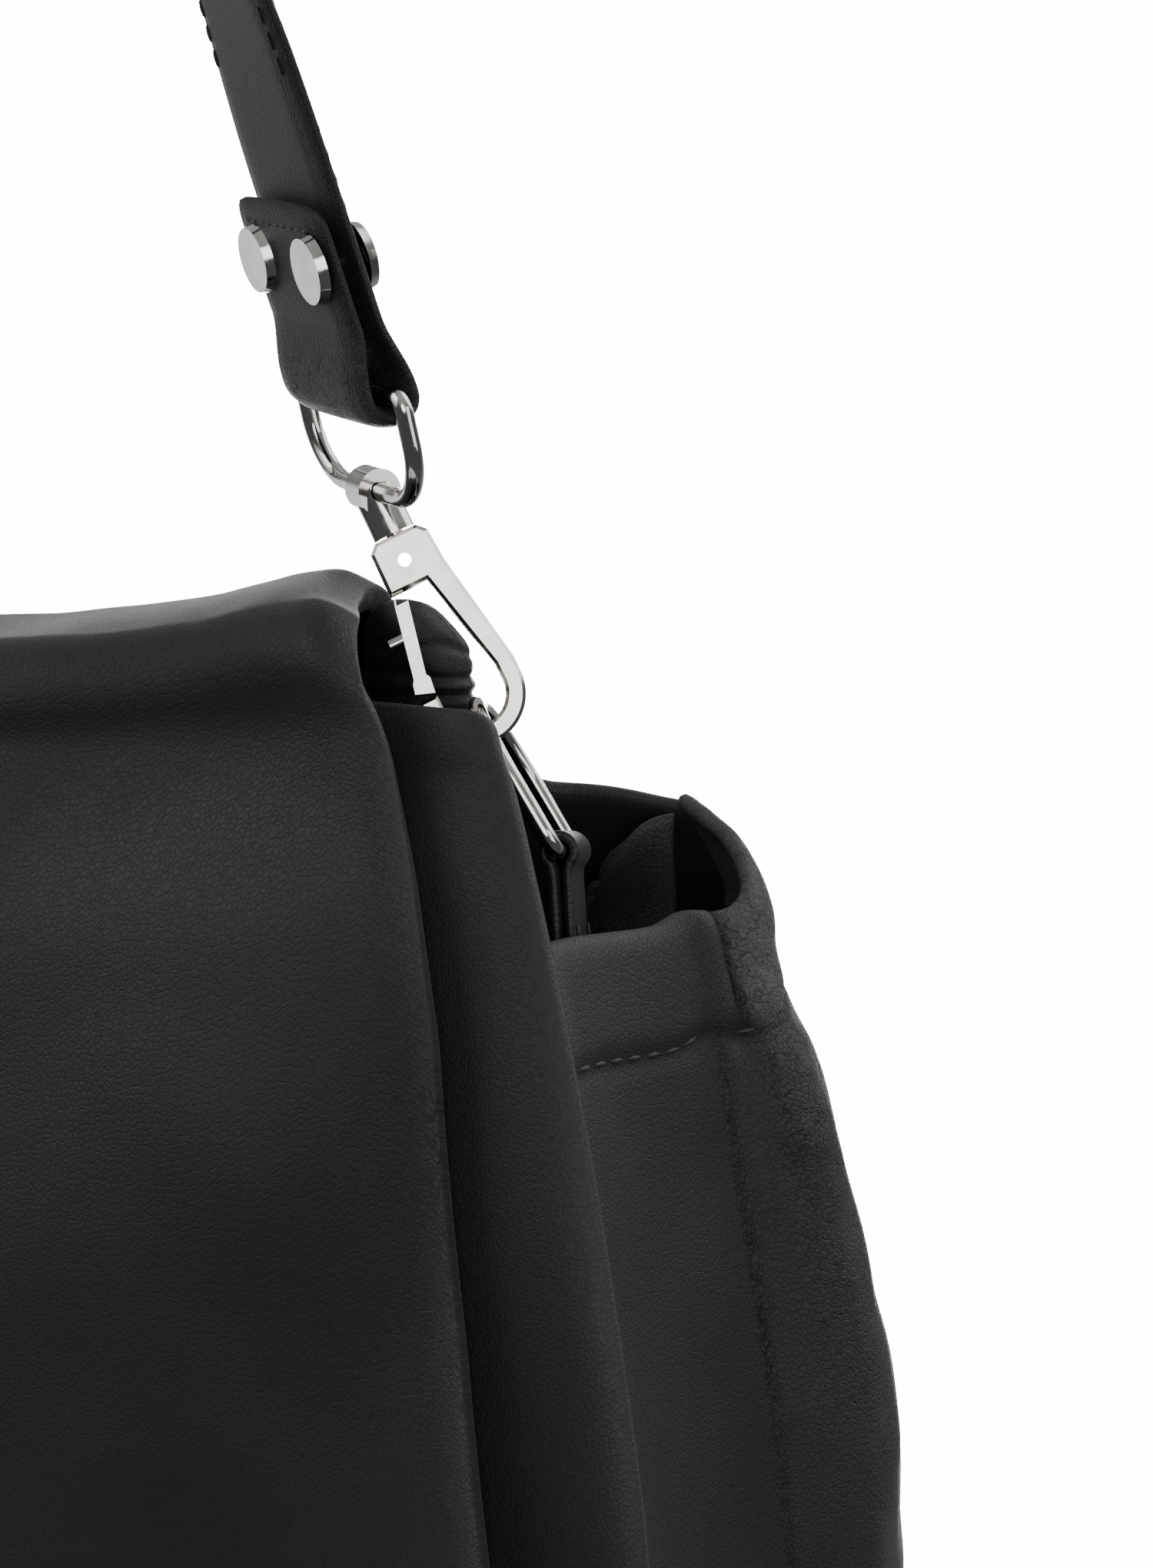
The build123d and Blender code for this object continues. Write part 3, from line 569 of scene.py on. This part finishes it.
down_front = np.linspace(0, 1, 74)[1:] ** 0.9
front_z = 0.2585 - (0.2585 - flap_low) * down_front
corner = np.linspace(0, math.pi / 2, 9)
route = [(float(half_depth(z)) + 0.0030, z) for z in np.linspace(root_low, 0.2575, 14)[:-1]]
route[-4:] = [(max(y, back_bend + back_roll), z) for y, z in route[-4:]]
for a in corner:
    route.append((back_bend + back_roll * math.cos(a), crest - back_roll + back_roll * math.sin(a)))
route += [(y, crest) for y in np.linspace(back_bend, front_bend, 9)[1:-1]]
for a in corner:
    route.append((front_bend - front_roll * math.sin(a), crest - front_roll + front_roll * math.cos(a)))
route += [(-(float(half_depth(z)) + 0.0053), z) for z in front_z]
route = np.array(route)
flap_across = crowded(75, 0.72)


def flap_half_width(y, z):
    """Half of the flap's width along its length."""
    heights = [0.045, 0.070, 0.100, 0.147, 0.176, 0.213, 0.233, 0.252, 0.259, 0.268]
    widths = [0.1565, 0.1565, 0.1545, 0.1495, 0.1438, 0.1345, 0.1272, 0.1188, 0.1155, 0.1105]
    front = np.interp(z, heights, widths)
    top = 0.1000 + 0.0085 * ease(-y, -0.012, 0.016)
    return top + (front - top) * ease(-y, 0.004, 0.0195)


half = flap_half_width(route[:, 0], route[:, 1])
root_round = (1 - np.clip((route[:, 1] - root_low) / 0.009, 0, 1)) ** 2
root_round = np.where(route[:, 0] > 0.012, root_round, 0.0)
x = flap_across[None, :] * (half - 0.007 * root_round)[:, None]
y = route[:, :1] * np.ones_like(x)
z = route[:, 1:] * np.ones_like(x)
spread = np.abs(flap_across)[None, :] * 0.110
droop_at = [0, 0.03, 0.054, 0.07, 0.085, 0.097, 0.104, 0.110]
droop_by = [-0.0130, -0.0125, -0.0106, -0.0084, -0.0056, -0.0020, -0.0008, -0.0030]
z = z + np.interp(spread, droop_at, droop_by) * ease(z, 0.216, 0.262)
corner_lift = bell(spread, 0.103, 0.012) * ease(z, 0.235, 0.262)
y = y - 0.0035 * corner_lift * ease(-y, 0.0, 0.02)
grid = np.stack([x, y, z], axis=-1)
out = grid_normals(grid)
out = out * np.sign(out[-10, 37, 1]) * -1
broad = rumple(grid, 0.075, 11) * 0.0022 + rumple(grid, 0.035, 12) * 0.0009
small = rumple(grid, 0.014, 13) * 0.00022
slant = (grid[..., 0] * 0.75 + grid[..., 2] * 1.15) * 62
drag = np.sin(slant + 2.6 * rumple(grid, 0.06, 14)) * 0.0006
from_side = 1 - np.abs(flap_across)[None, :]
rim = ease(from_side, 0.0, 0.10)
low_rim = ease(np.arange(len(route))[::-1][:, None], 0, 5)
free = ease(z, 0.262, 0.215) * (y < -0.01)
lift = (broad + drag * ease(z, 0.24, 0.19)) * free * rim * (0.25 + 0.75 * low_rim) + small * rim
lift = lift + 0.0006 * bell(from_side, 0.035, 0.035) * (y < -0.012)
grid = grid + out * lift[..., None]
wear_and_highlight = np.clip(0.16 + 0.2 * rumple(grid, 0.05, 15), 0, 1) + 0.25 * ease(from_side, 0.05, 0.0)
whole = hide("flap_leather", grid, flap_t, calf, wear_and_highlight=wear_and_highlight)

parting = -0.0018
cut_flap = bmesh.new()
cut_flap.from_mesh(whole.data)
bmesh.ops.bisect_plane(
    cut_flap,
    geom=[g for group in (cut_flap.verts, cut_flap.edges, cut_flap.faces) for g in group],
    plane_co=(0, parting, 0),
    plane_no=(0, 1, 0),
)
whole_cut = bpy.data.meshes.new("flap_cut")
cut_flap.to_mesh(whole_cut)
cut_flap.free()
for name, keep, pair, start, stop in (
    ("flap_back_leather", 1, ("bag", "flap_crown"), (0, 0.0172, 0.2540), (0, 0.0085, 0.2645)),
    ("flap_face_leather", -1, ("flap_crown", "flap_drop"), (0, -0.0115, 0.2650), (0, -0.0205, 0.2550)),
):
    part = bmesh.new()
    part.from_mesh(whole_cut)
    gone = [f for f in part.faces if (f.calc_center_median().y - parting) * keep < 0]
    bmesh.ops.delete(part, geom=gone, context="FACES")
    mesh = bpy.data.meshes.new(name)
    part.to_mesh(mesh)
    part.free()
    mesh.materials.append(calf)
    made = bpy.data.objects.new(name, mesh)
    scene.collection.objects.link(made)
    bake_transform(made)
    if keep > 0:
        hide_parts("flap_root", "flap_top")
    else:
        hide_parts("flap_front")
bpy.data.objects.remove(whole)

root_row_z = root_low + 0.0045
root_row_y = float(half_depth(root_row_z)) + 0.0030 + flap_t / 2 - 0.0001
root_seat = np.array([(x, root_row_y, root_row_z) for x in np.linspace(-0.093, 0.093, 80)])
root_up = np.tile([0.0, 1.0, 0.25], (80, 1))
root_row = stitches("flap_root_thread", root_seat, root_up, thread, pitch=0.0038, length=0.0028)
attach(root_row, "bag")


# ------------------------------------------------------------------ gathered corners behind the flap
# Where the flap's root meets the back panel's end, the leather is gathered into a stub, bound by two
# rolled welts. Below it a flat pleat of the back folds into the mouth.
def tube_faces(rings, sides):
    """Four-sided faces of an open tube, ring by ring."""
    faces = []
    for ring in range(rings - 1):
        here, above = ring * sides, (ring + 1) * sides
        for s in range(sides):
            over = (s + 1) % sides
            faces.append((here + s, here + over, above + over, above + s))
    return faces


for end, flip in (("right", 1), ("left", -1)):
    rings, sides = 44, 56
    up = np.linspace(0, 1, rings)[:, None]
    round_ = np.linspace(0, 2 * math.pi, sides, endpoint=False)[None, :]
    cap = np.sqrt(np.clip(1 - np.clip((up - 0.70) / 0.30, 0, 1) ** 2.2, 0, 1))
    lobes = 0.05 * np.cos(3 * round_ + 0.8 + 1.5 * up)
    lobes = lobes + 0.05 * np.cos(4 * round_ - 1.0) * ease(up, 0.60, 0.85)
    slope = 0.035 * np.cos(round_ + 0.9)
    welts = 0.00055 * bell(up, 0.47 + slope, 0.028) + 0.0007 * bell(up, 0.57 + slope, 0.026)
    tuck = 0.0005 * bell(up, 0.52 + slope, 0.014) + 0.0008 * bell(up, 0.63 + slope, 0.018)
    crease = 0.0009 * bell(up, 0.80 + 0.06 * np.cos(2 * round_ + 1.2), 0.022)
    crease = crease * ease(np.cos(round_ + 0.6), -0.6, 0.4)
    girth = (1 + lobes * ease(up, 0.0, 0.15)) * cap
    rx, ry = 0.0074 + 0.0016 * (1 - up), 0.0058 + 0.0014 * (1 - up)
    swell = (welts - tuck - crease) * (0.65 + 0.35 * np.cos(round_ + 1.4))
    px = 0.1058 + 0.0014 * up + ((rx + swell) * girth) * np.cos(round_)
    py = 0.0150 - 0.0035 * up + ((ry + swell) * girth) * np.sin(round_)
    pz = 0.2335 + 0.0280 * up - 0.0022 * np.cos(round_) * cap * ease(up, 0.5, 0.9)
    lumps = rumple(np.stack([px, py, pz * np.ones_like(px)], axis=-1), 0.006, 17) * 0.0005
    px, py = px + lumps * np.cos(round_), py + lumps * np.sin(round_)
    points = np.stack([px * flip, py, pz * np.ones_like(px)], axis=-1)
    mesh = bpy.data.meshes.new("gather_" + end)
    faces = [face[::flip] for face in tube_faces(rings, sides)]
    mesh.from_pydata(points.reshape(-1, 3).tolist(), [], faces)
    layer = mesh.uv_layers.new(name="cut")
    corner_of = np.array([loop.vertex_index for loop in mesh.loops])
    turn, level = corner_of % sides, corner_of // sides
    layer.data.foreach_set("uv", np.stack([turn * 0.0008, level * 0.0007], axis=1).ravel())
    made = bpy.data.objects.new("gather_" + end, mesh)
    scene.collection.objects.link(made)
    sub = made.modifiers.new("smooth", "SUBSURF")
    sub.levels = sub.render_levels = 1
    settled(made, calf)
    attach(made, "bag")

    u = np.linspace(0, 1, 22)[None, :]
    v = np.linspace(0, 1, 26)[:, None]
    px = 0.1235 + 0.0150 * u + 0.0060 * v**2 * (1 - u) - 0.0020 * np.sin(v * math.pi) * (1 - u)
    py = 0.0262 + 0.0040 * u - 0.0012 * np.sin(u * math.pi) - 0.0006 * np.sin(v * 9)
    pz = 0.2000 + (0.0292 + 0.0012 * u - 0.0085 * (1 - u) ** 2.5) * v
    py = py + (0.212 - pz) * 0.12 * (pz < 0.212)
    pleat_grid = np.stack([px * flip, py * np.ones_like(px * v), pz], axis=-1)
    pleat = hide("inner_pleat_" + end, pleat_grid, 0.0022, calf)
    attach(pleat, "bag")

# ------------------------------------------------------------------ shoulder strap
# Two layers of calf glued back to back, with painted and stitched edges. Each end is folded round a
# metal loop from outside to inside, its short end turned, sewn across and riveted through.
strap_w, strap_t = 0.030, 0.0029
hook_lean, strap_lean, loop_turn = math.radians(29), math.radians(20), math.radians(39)
link = Vector((0.122, 0, 0.250))
hook_up = Vector((-math.sin(hook_lean), 0, math.cos(hook_lean)))
strap_up = Vector((-math.sin(strap_lean), 0, math.cos(strap_lean)))
loop_along = Vector((math.cos(loop_turn), -math.sin(loop_turn), 0))
loop_up = (strap_up - loop_along * loop_along.dot(strap_up)).normalized()
loop_top = link + hook_up * 0.033 + loop_up * 0.015
inward = loop_along.cross(strap_up).normalized()
ply = (0.0002 + strap_t) / 2
fold_r = 0.0019 + strap_t / 2


def strap_route():
    """Stations along the right-hand half, from the short end round the loop to the crown's middle."""
    stations = []
    for s in np.linspace(0.0270, 0.0105, 10):
        stations.append((loop_top + strap_up * s + inward * (ply + 0.00015), loop_along))
    for s in np.linspace(0.0095, 0.0015, 6):
        bow = ply + (fold_r - ply) * float(ease(-s, -0.0105, -0.0005))
        stations.append((loop_top + strap_up * s + inward * bow, loop_along))
    for a in np.linspace(0.08, math.pi - 0.08, 13):
        under = loop_top - strap_up * (math.sin(a) * fold_r)
        stations.append((under + inward * (math.cos(a) * fold_r), loop_along))
    for s in np.linspace(0.0015, 0.0095, 6):
        bow = ply + (fold_r - ply) * float(ease(-s, -0.0105, -0.0005))
        stations.append((loop_top + strap_up * s - inward * bow, loop_along))
    for s in np.linspace(0.0110, 0.0260, 7):
        stations.append((loop_top + strap_up * s - inward * ply, loop_along))
    foot = loop_top + strap_up * 0.027 - inward * ply
    crown_r = 0.040
    crown_z = foot.z + (foot.x * math.cos(strap_lean) - crown_r) / math.sin(strap_lean)
    leg = (foot.x - crown_r * math.cos(strap_lean)) / math.sin(strap_lean)
    for k in range(42):
        part = k / 42
        soft = part * part * (3 - 2 * part)
        angle = loop_turn + (math.pi / 2 - loop_turn) * soft
        middle = foot + strap_up * (leg * part)
        middle.y -= middle.y * soft
        stations.append((middle, Vector((math.cos(angle), -math.sin(angle), 0))))
    for k in range(19):
        angle = strap_lean + (math.pi / 2 - strap_lean) * k / 18
        middle = Vector((crown_r * math.cos(angle), 0, crown_z + crown_r * math.sin(angle)))
        stations.append((middle, Vector((0, -1, 0))))
    return stations


right_half = strap_route()
left_half = [(Vector((-m.x, m.y, m.z)), Vector((-a.x, a.y, 0))) for m, a in reversed(right_half[:-1])]
stations = right_half + left_half
middles = np.array([tuple(m) for m, _ in stations])
alongs = np.array([tuple(a) for _, a in stations])
tangents = np.gradient(middles, axis=0)
tangents /= np.linalg.norm(tangents, axis=1, keepdims=True)
faces_out = np.cross(alongs, tangents)
faces_out /= np.linalg.norm(faces_out, axis=1, keepdims=True)
run = np.concatenate([[0], np.cumsum(np.linalg.norm(np.diff(middles, axis=0), axis=1))])

flat = np.linspace(-1, 1, 25)
top_y = 0.5 - 0.30 * np.abs(flat) ** 9 - 0.05 * bell(np.abs(flat), 0.845, 0.035)
top_y = top_y + 0.03 * np.cos(flat * math.pi / 2)
rim_angle = np.linspace(math.pi / 2, -math.pi / 2, 7)[1:-1]
outline = [(f, h) for f, h in zip(flat, top_y)]
outline += [(1 + 0.035 * math.cos(a), 0.20 * math.sin(a)) for a in rim_angle]
outline += [(f, -h) for f, h in zip(flat[::-1], top_y[::-1])]
outline += [(-1 - 0.035 * math.cos(a), -0.20 * math.sin(a)) for a in rim_angle]
outline = np.array(outline)

ends = np.minimum(run, run[-1] - run)
taper = np.sqrt(np.clip(1 - (1 - np.clip(ends / 0.0035, 0, 1)) ** 2, 0.05, 1))
tip = np.sqrt(np.clip(1 - (1 - ends / 0.004) ** 2, 0, 1))
narrow = np.where(ends < 0.004, 1 - 0.10 * (1 - tip), 1.0)
clear_of_ends = ease(ends, 0.040, 0.075)
ripple = rumple(middles, 0.02, 21) * 0.0002 * clear_of_ends
swell = 0.96 + 0.06 * rumple(middles, 0.03, 22) * clear_of_ends
sideways = outline[None, :, :1] * (strap_w / 2 - 0.0003) * narrow[:, None, None]
through = outline[None, :, 1:] * strap_t * (taper * swell)[:, None, None] + ripple[:, None, None]
points = middles[:, None, :] + alongs[:, None, :] * sideways + faces_out[:, None, :] * through
count, sides = points.shape[:2]
mesh = bpy.data.meshes.new("strap_leather")
faces = tube_faces(count, sides)
faces += [tuple(reversed(range(sides))), tuple((count - 1) * sides + s for s in range(sides))]
mesh.from_pydata(points.reshape(-1, 3).tolist(), [], faces)
layer = mesh.uv_layers.new(name="cut")
corner_of = np.array([loop.vertex_index for loop in mesh.loops])
rim_steps = np.linalg.norm(np.diff(outline * (strap_w / 2, strap_t), axis=0), axis=1)
girth = np.concatenate([[0], np.cumsum(rim_steps)])
unrolled = np.stack([girth[corner_of % sides], run[corner_of // sides]], axis=1)
layer.data.foreach_set("uv", unrolled.ravel())
rim_mask = np.clip((np.abs(outline[:, 0]) - 0.9) / 0.1, 0, 1)
mesh.attributes.new("edge", "FLOAT", "POINT").data.foreach_set("value", np.tile(rim_mask, count) * 0.8)
fold_worn = bell(ends, 0.033, 0.012) * 0.8 + 0.15
mesh.attributes.new("wear_and_highlight", "FLOAT", "POINT").data.foreach_set("value", np.repeat(fold_worn, sides))


def turn_faces_out(mesh):
    """Makes all the faces of a closed shape face outwards."""
    shell = bmesh.new()
    shell.from_mesh(mesh)
    bmesh.ops.recalc_face_normals(shell, faces=shell.faces)
    shell.to_mesh(mesh)
    shell.free()


turn_faces_out(mesh)
strap_hide = bpy.data.objects.new("strap_leather", mesh)
scene.collection.objects.link(strap_hide)
sub = strap_hide.modifiers.new("smooth", "SUBSURF")
sub.levels = sub.render_levels = 1
strap_dark, strap_light = (0.005, 0.005, 0.0058), (0.021, 0.0203, 0.0235)
strap_calf = leather("strap_calf", strap_dark, strap_light, rough=0.42, grain=0.8)
settled(strap_hide, strap_calf)
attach(strap_hide, "strap_body")
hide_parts("strap")

for side in (1, -1):
    for face in (1, -1):
        inside = ends > (0.078 if face > 0 else 0.052)
        line = middles + alongs * (side * strap_w / 2 * 0.83) + faces_out * (face * strap_t * 0.40)
        row = stitches(
            f"strap_thread_{'front' if side > 0 else 'back'}_{'inner' if face > 0 else 'outer'}",
            line[inside],
            faces_out[inside] * face,
            thread,
            pitch=0.0036,
            length=0.0026,
            radius=0.0002,
        )
        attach(row, "strap_body")

for end, flip in (("right", 1), ("left", -1)):
    wide = np.linspace(-0.80, 0.80, 12)[:, None] * (strap_w / 2)
    seat = np.array(tuple(loop_top + strap_up * 0.0237 + inward * (ply + strap_t * 0.5 - 0.0001)))
    line = (seat + np.array(tuple(loop_along)) * wide) * (flip, 1, 1)
    up = np.tile(np.array(tuple(inward)) * (flip, 1, 1), (12, 1))
    row = stitches("tab_thread_" + end, line, up, thread, pitch=0.0026, length=0.0019, radius=0.0003)
    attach(row, "strap_body")


# ------------------------------------------------------------------ ring chapes
# A short doubled tab of the strap's leather inside each end of the mouth. It is looped round the
# ring's bar, sewn down both sides, and its tails are caught inside the gusset.
ring_height = Vector((-13.2, 0, 19.4)).normalized()
ring_turn = math.radians(23)
ring_bar = Vector((0, math.cos(ring_turn), 0)) + ring_height.cross(Vector((0, math.sin(ring_turn), 0)))
bar = Vector((0.1352, 0, 0.2306))
plumb = Vector((0.08, 0, -1))
down = (plumb - ring_bar * plumb.dot(ring_bar)).normalized()
aside = ring_bar.cross(down)
wrap, ply_gap, chape_len, chape_half = 0.0022, 0.0010, 0.0345, 0.0092
for end, flip in (("right", 1), ("left", -1)):
    lane = []
    for s in np.linspace(chape_len, 0.006, 12):
        lane.append(bar + down * s + aside * ply_gap)
    for a in np.linspace(0.45, 2 * math.pi - 0.45, 18):
        lane.append(bar + down * (math.cos(a) * wrap) + aside * (math.sin(a) * wrap))
    for s in np.linspace(0.006, chape_len, 12):
        lane.append(bar + down * s - aside * ply_gap)
    lane = np.array([tuple(p) for p in lane])
    wide = (crowded(15, 0.6) * chape_half)[None, :, None] * np.array(tuple(ring_bar))
    tab = (lane[:, None, :] + wide) * (flip, 1, 1)
    chape = hide("chape_leather_" + end, tab, 0.0013, strap_calf)
    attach(chape, "bag")
    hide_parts("chape_" + end)
    for side in (-1, 1):
        line = lane[-11:-1] - np.array(tuple(aside)) * 0.0009
        line = (line + np.array(tuple(ring_bar)) * (side * 0.0074)) * (flip, 1, 1)
        up = np.tile(-np.array(tuple(aside)) * (flip, 1, 1), (len(line), 1))
        row = stitches(
            f"chape_thread_{end}_{'front' if side < 0 else 'back'}",
            line,
            up,
            thread,
            pitch=0.0036,
            length=0.0026,
            radius=0.00025,
        )
        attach(row, "bag")


# ------------------------------------------------------------------ base
# A rectangle of the same calf, sewn into the walls with a rolled welt round it. A thin stiffening
# board lies loose on it inside the bag.
base_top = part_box("base_panel")[1][2]
base_half_x, base_half_y = 0.1680, 0.0428
base_across = crowded(49)[None, :] * base_half_x
base_back = crowded(25, 0.4)[:, None]
end_round = 1 - 0.30 * np.clip((np.abs(base_across) - 0.157) / 0.0110, 0, 1) ** 3
x = base_across * np.ones_like(base_back)
y = base_back * base_half_y * end_round
z = np.full_like(x, base_top / 2 + 0.0001)
grid = np.stack([x, y, z], axis=-1)
inset = ease(base_half_y - np.abs(y), 0.0, 0.012) * ease(base_half_x - np.abs(x), 0.0, 0.012)
grid[..., 2] += (0.0004 + 0.0002 * rumple(grid, 0.05, 31)) * inset
base_hide = hide("base_leather", grid[::-1], 0.0024, calf, wear_and_highlight=np.full(x.shape, 0.3))
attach(base_hide, "bag")
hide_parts("base_panel")

welt_steps, welt_sides, welt_r = 180, 12, 0.0019
welt_turn = np.linspace(0, 2 * math.pi, welt_steps + 1)[:-1]
welt_x = 0.1698 * np.sign(np.cos(welt_turn)) * np.abs(np.cos(welt_turn)) ** 0.16
welt_y = 0.0438 * np.sign(np.sin(welt_turn)) * np.abs(np.sin(welt_turn)) ** 0.22
welt_line = np.stack([welt_x, welt_y, np.full(welt_steps, 0.0021)], axis=-1)
welt_ahead = np.roll(welt_line, -1, axis=0) - np.roll(welt_line, 1, axis=0)
welt_ahead /= np.linalg.norm(welt_ahead, axis=-1, keepdims=True)
welt_aside = np.cross(welt_ahead, (0, 0, 1))
welt_round = np.linspace(0, 2 * math.pi, welt_sides + 1)[:-1]
welt = (
    welt_line[:, None, :]
    + welt_aside[:, None, :] * (np.cos(welt_round) * welt_r)[None, :, None]
    + np.array([0, 0, 1.0]) * (np.sin(welt_round) * welt_r)[None, :, None]
)
faces = []
for step in range(welt_steps):
    here, ahead = step * welt_sides, (step + 1) % welt_steps * welt_sides
    for s in range(welt_sides):
        over = (s + 1) % welt_sides
        faces.append((here + s, ahead + s, ahead + over, here + over))
mesh = bpy.data.meshes.new("base_welt")
mesh.from_pydata(welt.reshape(-1, 3).tolist(), [], faces)
layer = mesh.uv_layers.new(name="cut")
corner_of = np.array([loop.vertex_index for loop in mesh.loops])
unrolled = np.stack([corner_of // welt_sides * 0.0049, corner_of % welt_sides * 0.001], axis=1)
layer.data.foreach_set("uv", unrolled.ravel())
turn_faces_out(mesh)
base_welt = bpy.data.objects.new("base_welt", mesh)
scene.collection.objects.link(base_welt)
settled(base_welt, calf)
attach(base_welt, "bag")

board_finish, shader, wire = new_finish("board_fibre")
place = wire.node("ShaderNodeTexCoord", out=3)
fibre = wire.node("ShaderNodeTexNoise", Vector=place, Scale=900.0, Detail=4.0)
cloud = wire.node("ShaderNodeTexNoise", Vector=place, Scale=40.0, Detail=2.0)
wire.node("ShaderNodeBump", Height=fibre, Strength=0.3, Distance=0.0001).into(shader, "Normal")
flecks = (fibre * 0.6 + cloud * 0.4).tint((0.035, 0.035, 0.038, 1), (0.07, 0.07, 0.075, 1))
flecks.into(shader, "Base Color")
shader.inputs["Roughness"].default_value = 0.85


def dress(node_name, material):
    """Gives a part of the frame its finish."""
    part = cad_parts[node_name]
    if not part.material_slots:
        part.data.materials.append(material)
    for place in part.material_slots:
        place.material = material


dress("base_board", board_finish)

# ------------------------------------------------------------------ inner pocket
# A patch pocket of plain-woven lining cloth, hemmed along its open top and sewn to the inside of
# the back down both sides and across the bottom, so it bellies forward a little.
cloth, shader, wire = new_finish("lining_cloth")
cut = wire.node("ShaderNodeTexCoord", out=2)
lanes = wire.node("ShaderNodeVectorMath", {"operation": "SCALE"}, i0=cut, i3=1000.0)
warp_way, weft_way = {"bands_direction": "X"}, {"bands_direction": "Y"}
warp = wire.node("ShaderNodeTexWave", warp_way, 1, Vector=lanes, Scale=0.55, Distortion=0.4)
weft = wire.node("ShaderNodeTexWave", weft_way, 1, Vector=lanes, Scale=0.55, Distortion=0.4)
slub = wire.node("ShaderNodeTexNoise", {"noise_dimensions": "2D"}, Vector=lanes, Scale=0.4, Detail=3.0)
weave = warp * weft
wire.node("ShaderNodeBump", Height=weave, Strength=0.5, Distance=0.00015).into(shader, "Normal")
yarn = (weave * 0.5 + slub * 0.6).tint((0.03, 0.03, 0.034, 1), (0.085, 0.085, 0.095, 1))
yarn.into(shader, "Base Color")
shader.inputs["Roughness"].default_value = 0.8
shader.inputs["Sheen Weight"].default_value = 0.2

pocket_low, pocket_high = (corner[2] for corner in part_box("inner_pocket"))
pocket_half = 0.0748
u = crowded(37)[None, :]
v = np.linspace(0, 1, 33)[:, None]
x = u * pocket_half * (1 - 0.06 * (1 - ease(v, 0.0, 0.09)))
z = pocket_low + (pocket_high - pocket_low) * v * np.ones_like(u)
belly = (1 - u**4) * np.sin(np.clip(v, 0, 1) * math.pi / 2) ** 1.5
fold = 0.0006 * np.sin(u * 9 + 2 * v) * belly
hem = 0.0005 * ease(v, 0.90, 0.915)
y = half_depth(z) - panel_t - 0.0011 - 0.0028 * belly - fold - hem
grid = np.stack([x, y, z], axis=-1)
pocket = hide("pocket_cloth", grid[:, ::-1], 0.0008, cloth)
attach(pocket, "bag")
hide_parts("inner_pocket")
for name, path in (
    ("pocket_thread_right", grid[1:-1, -2]),
    ("pocket_thread_left", grid[1:-1, 1]),
    ("pocket_thread_low", grid[1, 1:-1]),
    ("pocket_thread_hem", grid[-4, 1:-1]),
):
    seat = path + np.array([0, -0.0005, 0])
    up = np.tile([0.0, -1.0, 0.0], (len(seat), 1))
    row = stitches(name, seat, up, thread, pitch=0.0036, length=0.0026, radius=0.00025)
    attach(row, "bag")

# ------------------------------------------------------------------ metal fittings
# Nickel-plated zinc and steel: two D-rings, two swivel hooks with sprung gates, their eyes and
# loops, the flat strap rivets, and the two halves of the snap under the flap.
nickel_parts = []
for part in ("bag_ring", "hook", "gate_rivet", "eye", "loop"):
    nickel_parts += [part + "_right", part + "_left"]
nickel_parts += ["strap_rivets", "snap_socket", "snap_stud"]
for finish_name, tone, parts, slot_name in (
    ("polished_nickel", (0.66, 0.64, 0.61), nickel_parts, "nickel"),
    ("gate_polish", (0.62, 0.60, 0.57), ["gate_right", "gate_left"], "gate_nickel"),
):
    plate, shader, wire = new_finish(finish_name)
    place = wire.node("ShaderNodeTexCoord", out=3)
    fine = (2600.0, 2600.0, 320.0)
    drawn = wire.node("ShaderNodeVectorMath", {"operation": "MULTIPLY"}, i0=place, i1=fine)
    scratch = wire.node("ShaderNodeTexNoise", Vector=drawn, Scale=1.0, Detail=2.0).clamp(0.58, 0.75)
    haze = wire.node("ShaderNodeTexNoise", Vector=place, Scale=260.0, Detail=3.0)
    wave = wire.node("ShaderNodeTexNoise", Vector=place, Scale=420.0, Detail=1.0)
    (0.10 + scratch * 0.10 + haze.clamp(0.45, 0.75) * 0.09).into(shader, "Roughness")
    dents = wire.node("ShaderNodeBump", Height=wave + scratch * 0.05, Strength=0.10, Distance=0.0002)
    dents.into(shader, "Normal")
    deep = tuple(0.82 * c for c in tone)
    haze.clamp(0.3, 0.7).tint((*deep, 1), (*tone, 1)).into(shader, "Base Color")
    shader.inputs["Metallic"].default_value = 1.0
    for part_name in parts:
        dress(part_name, plate)
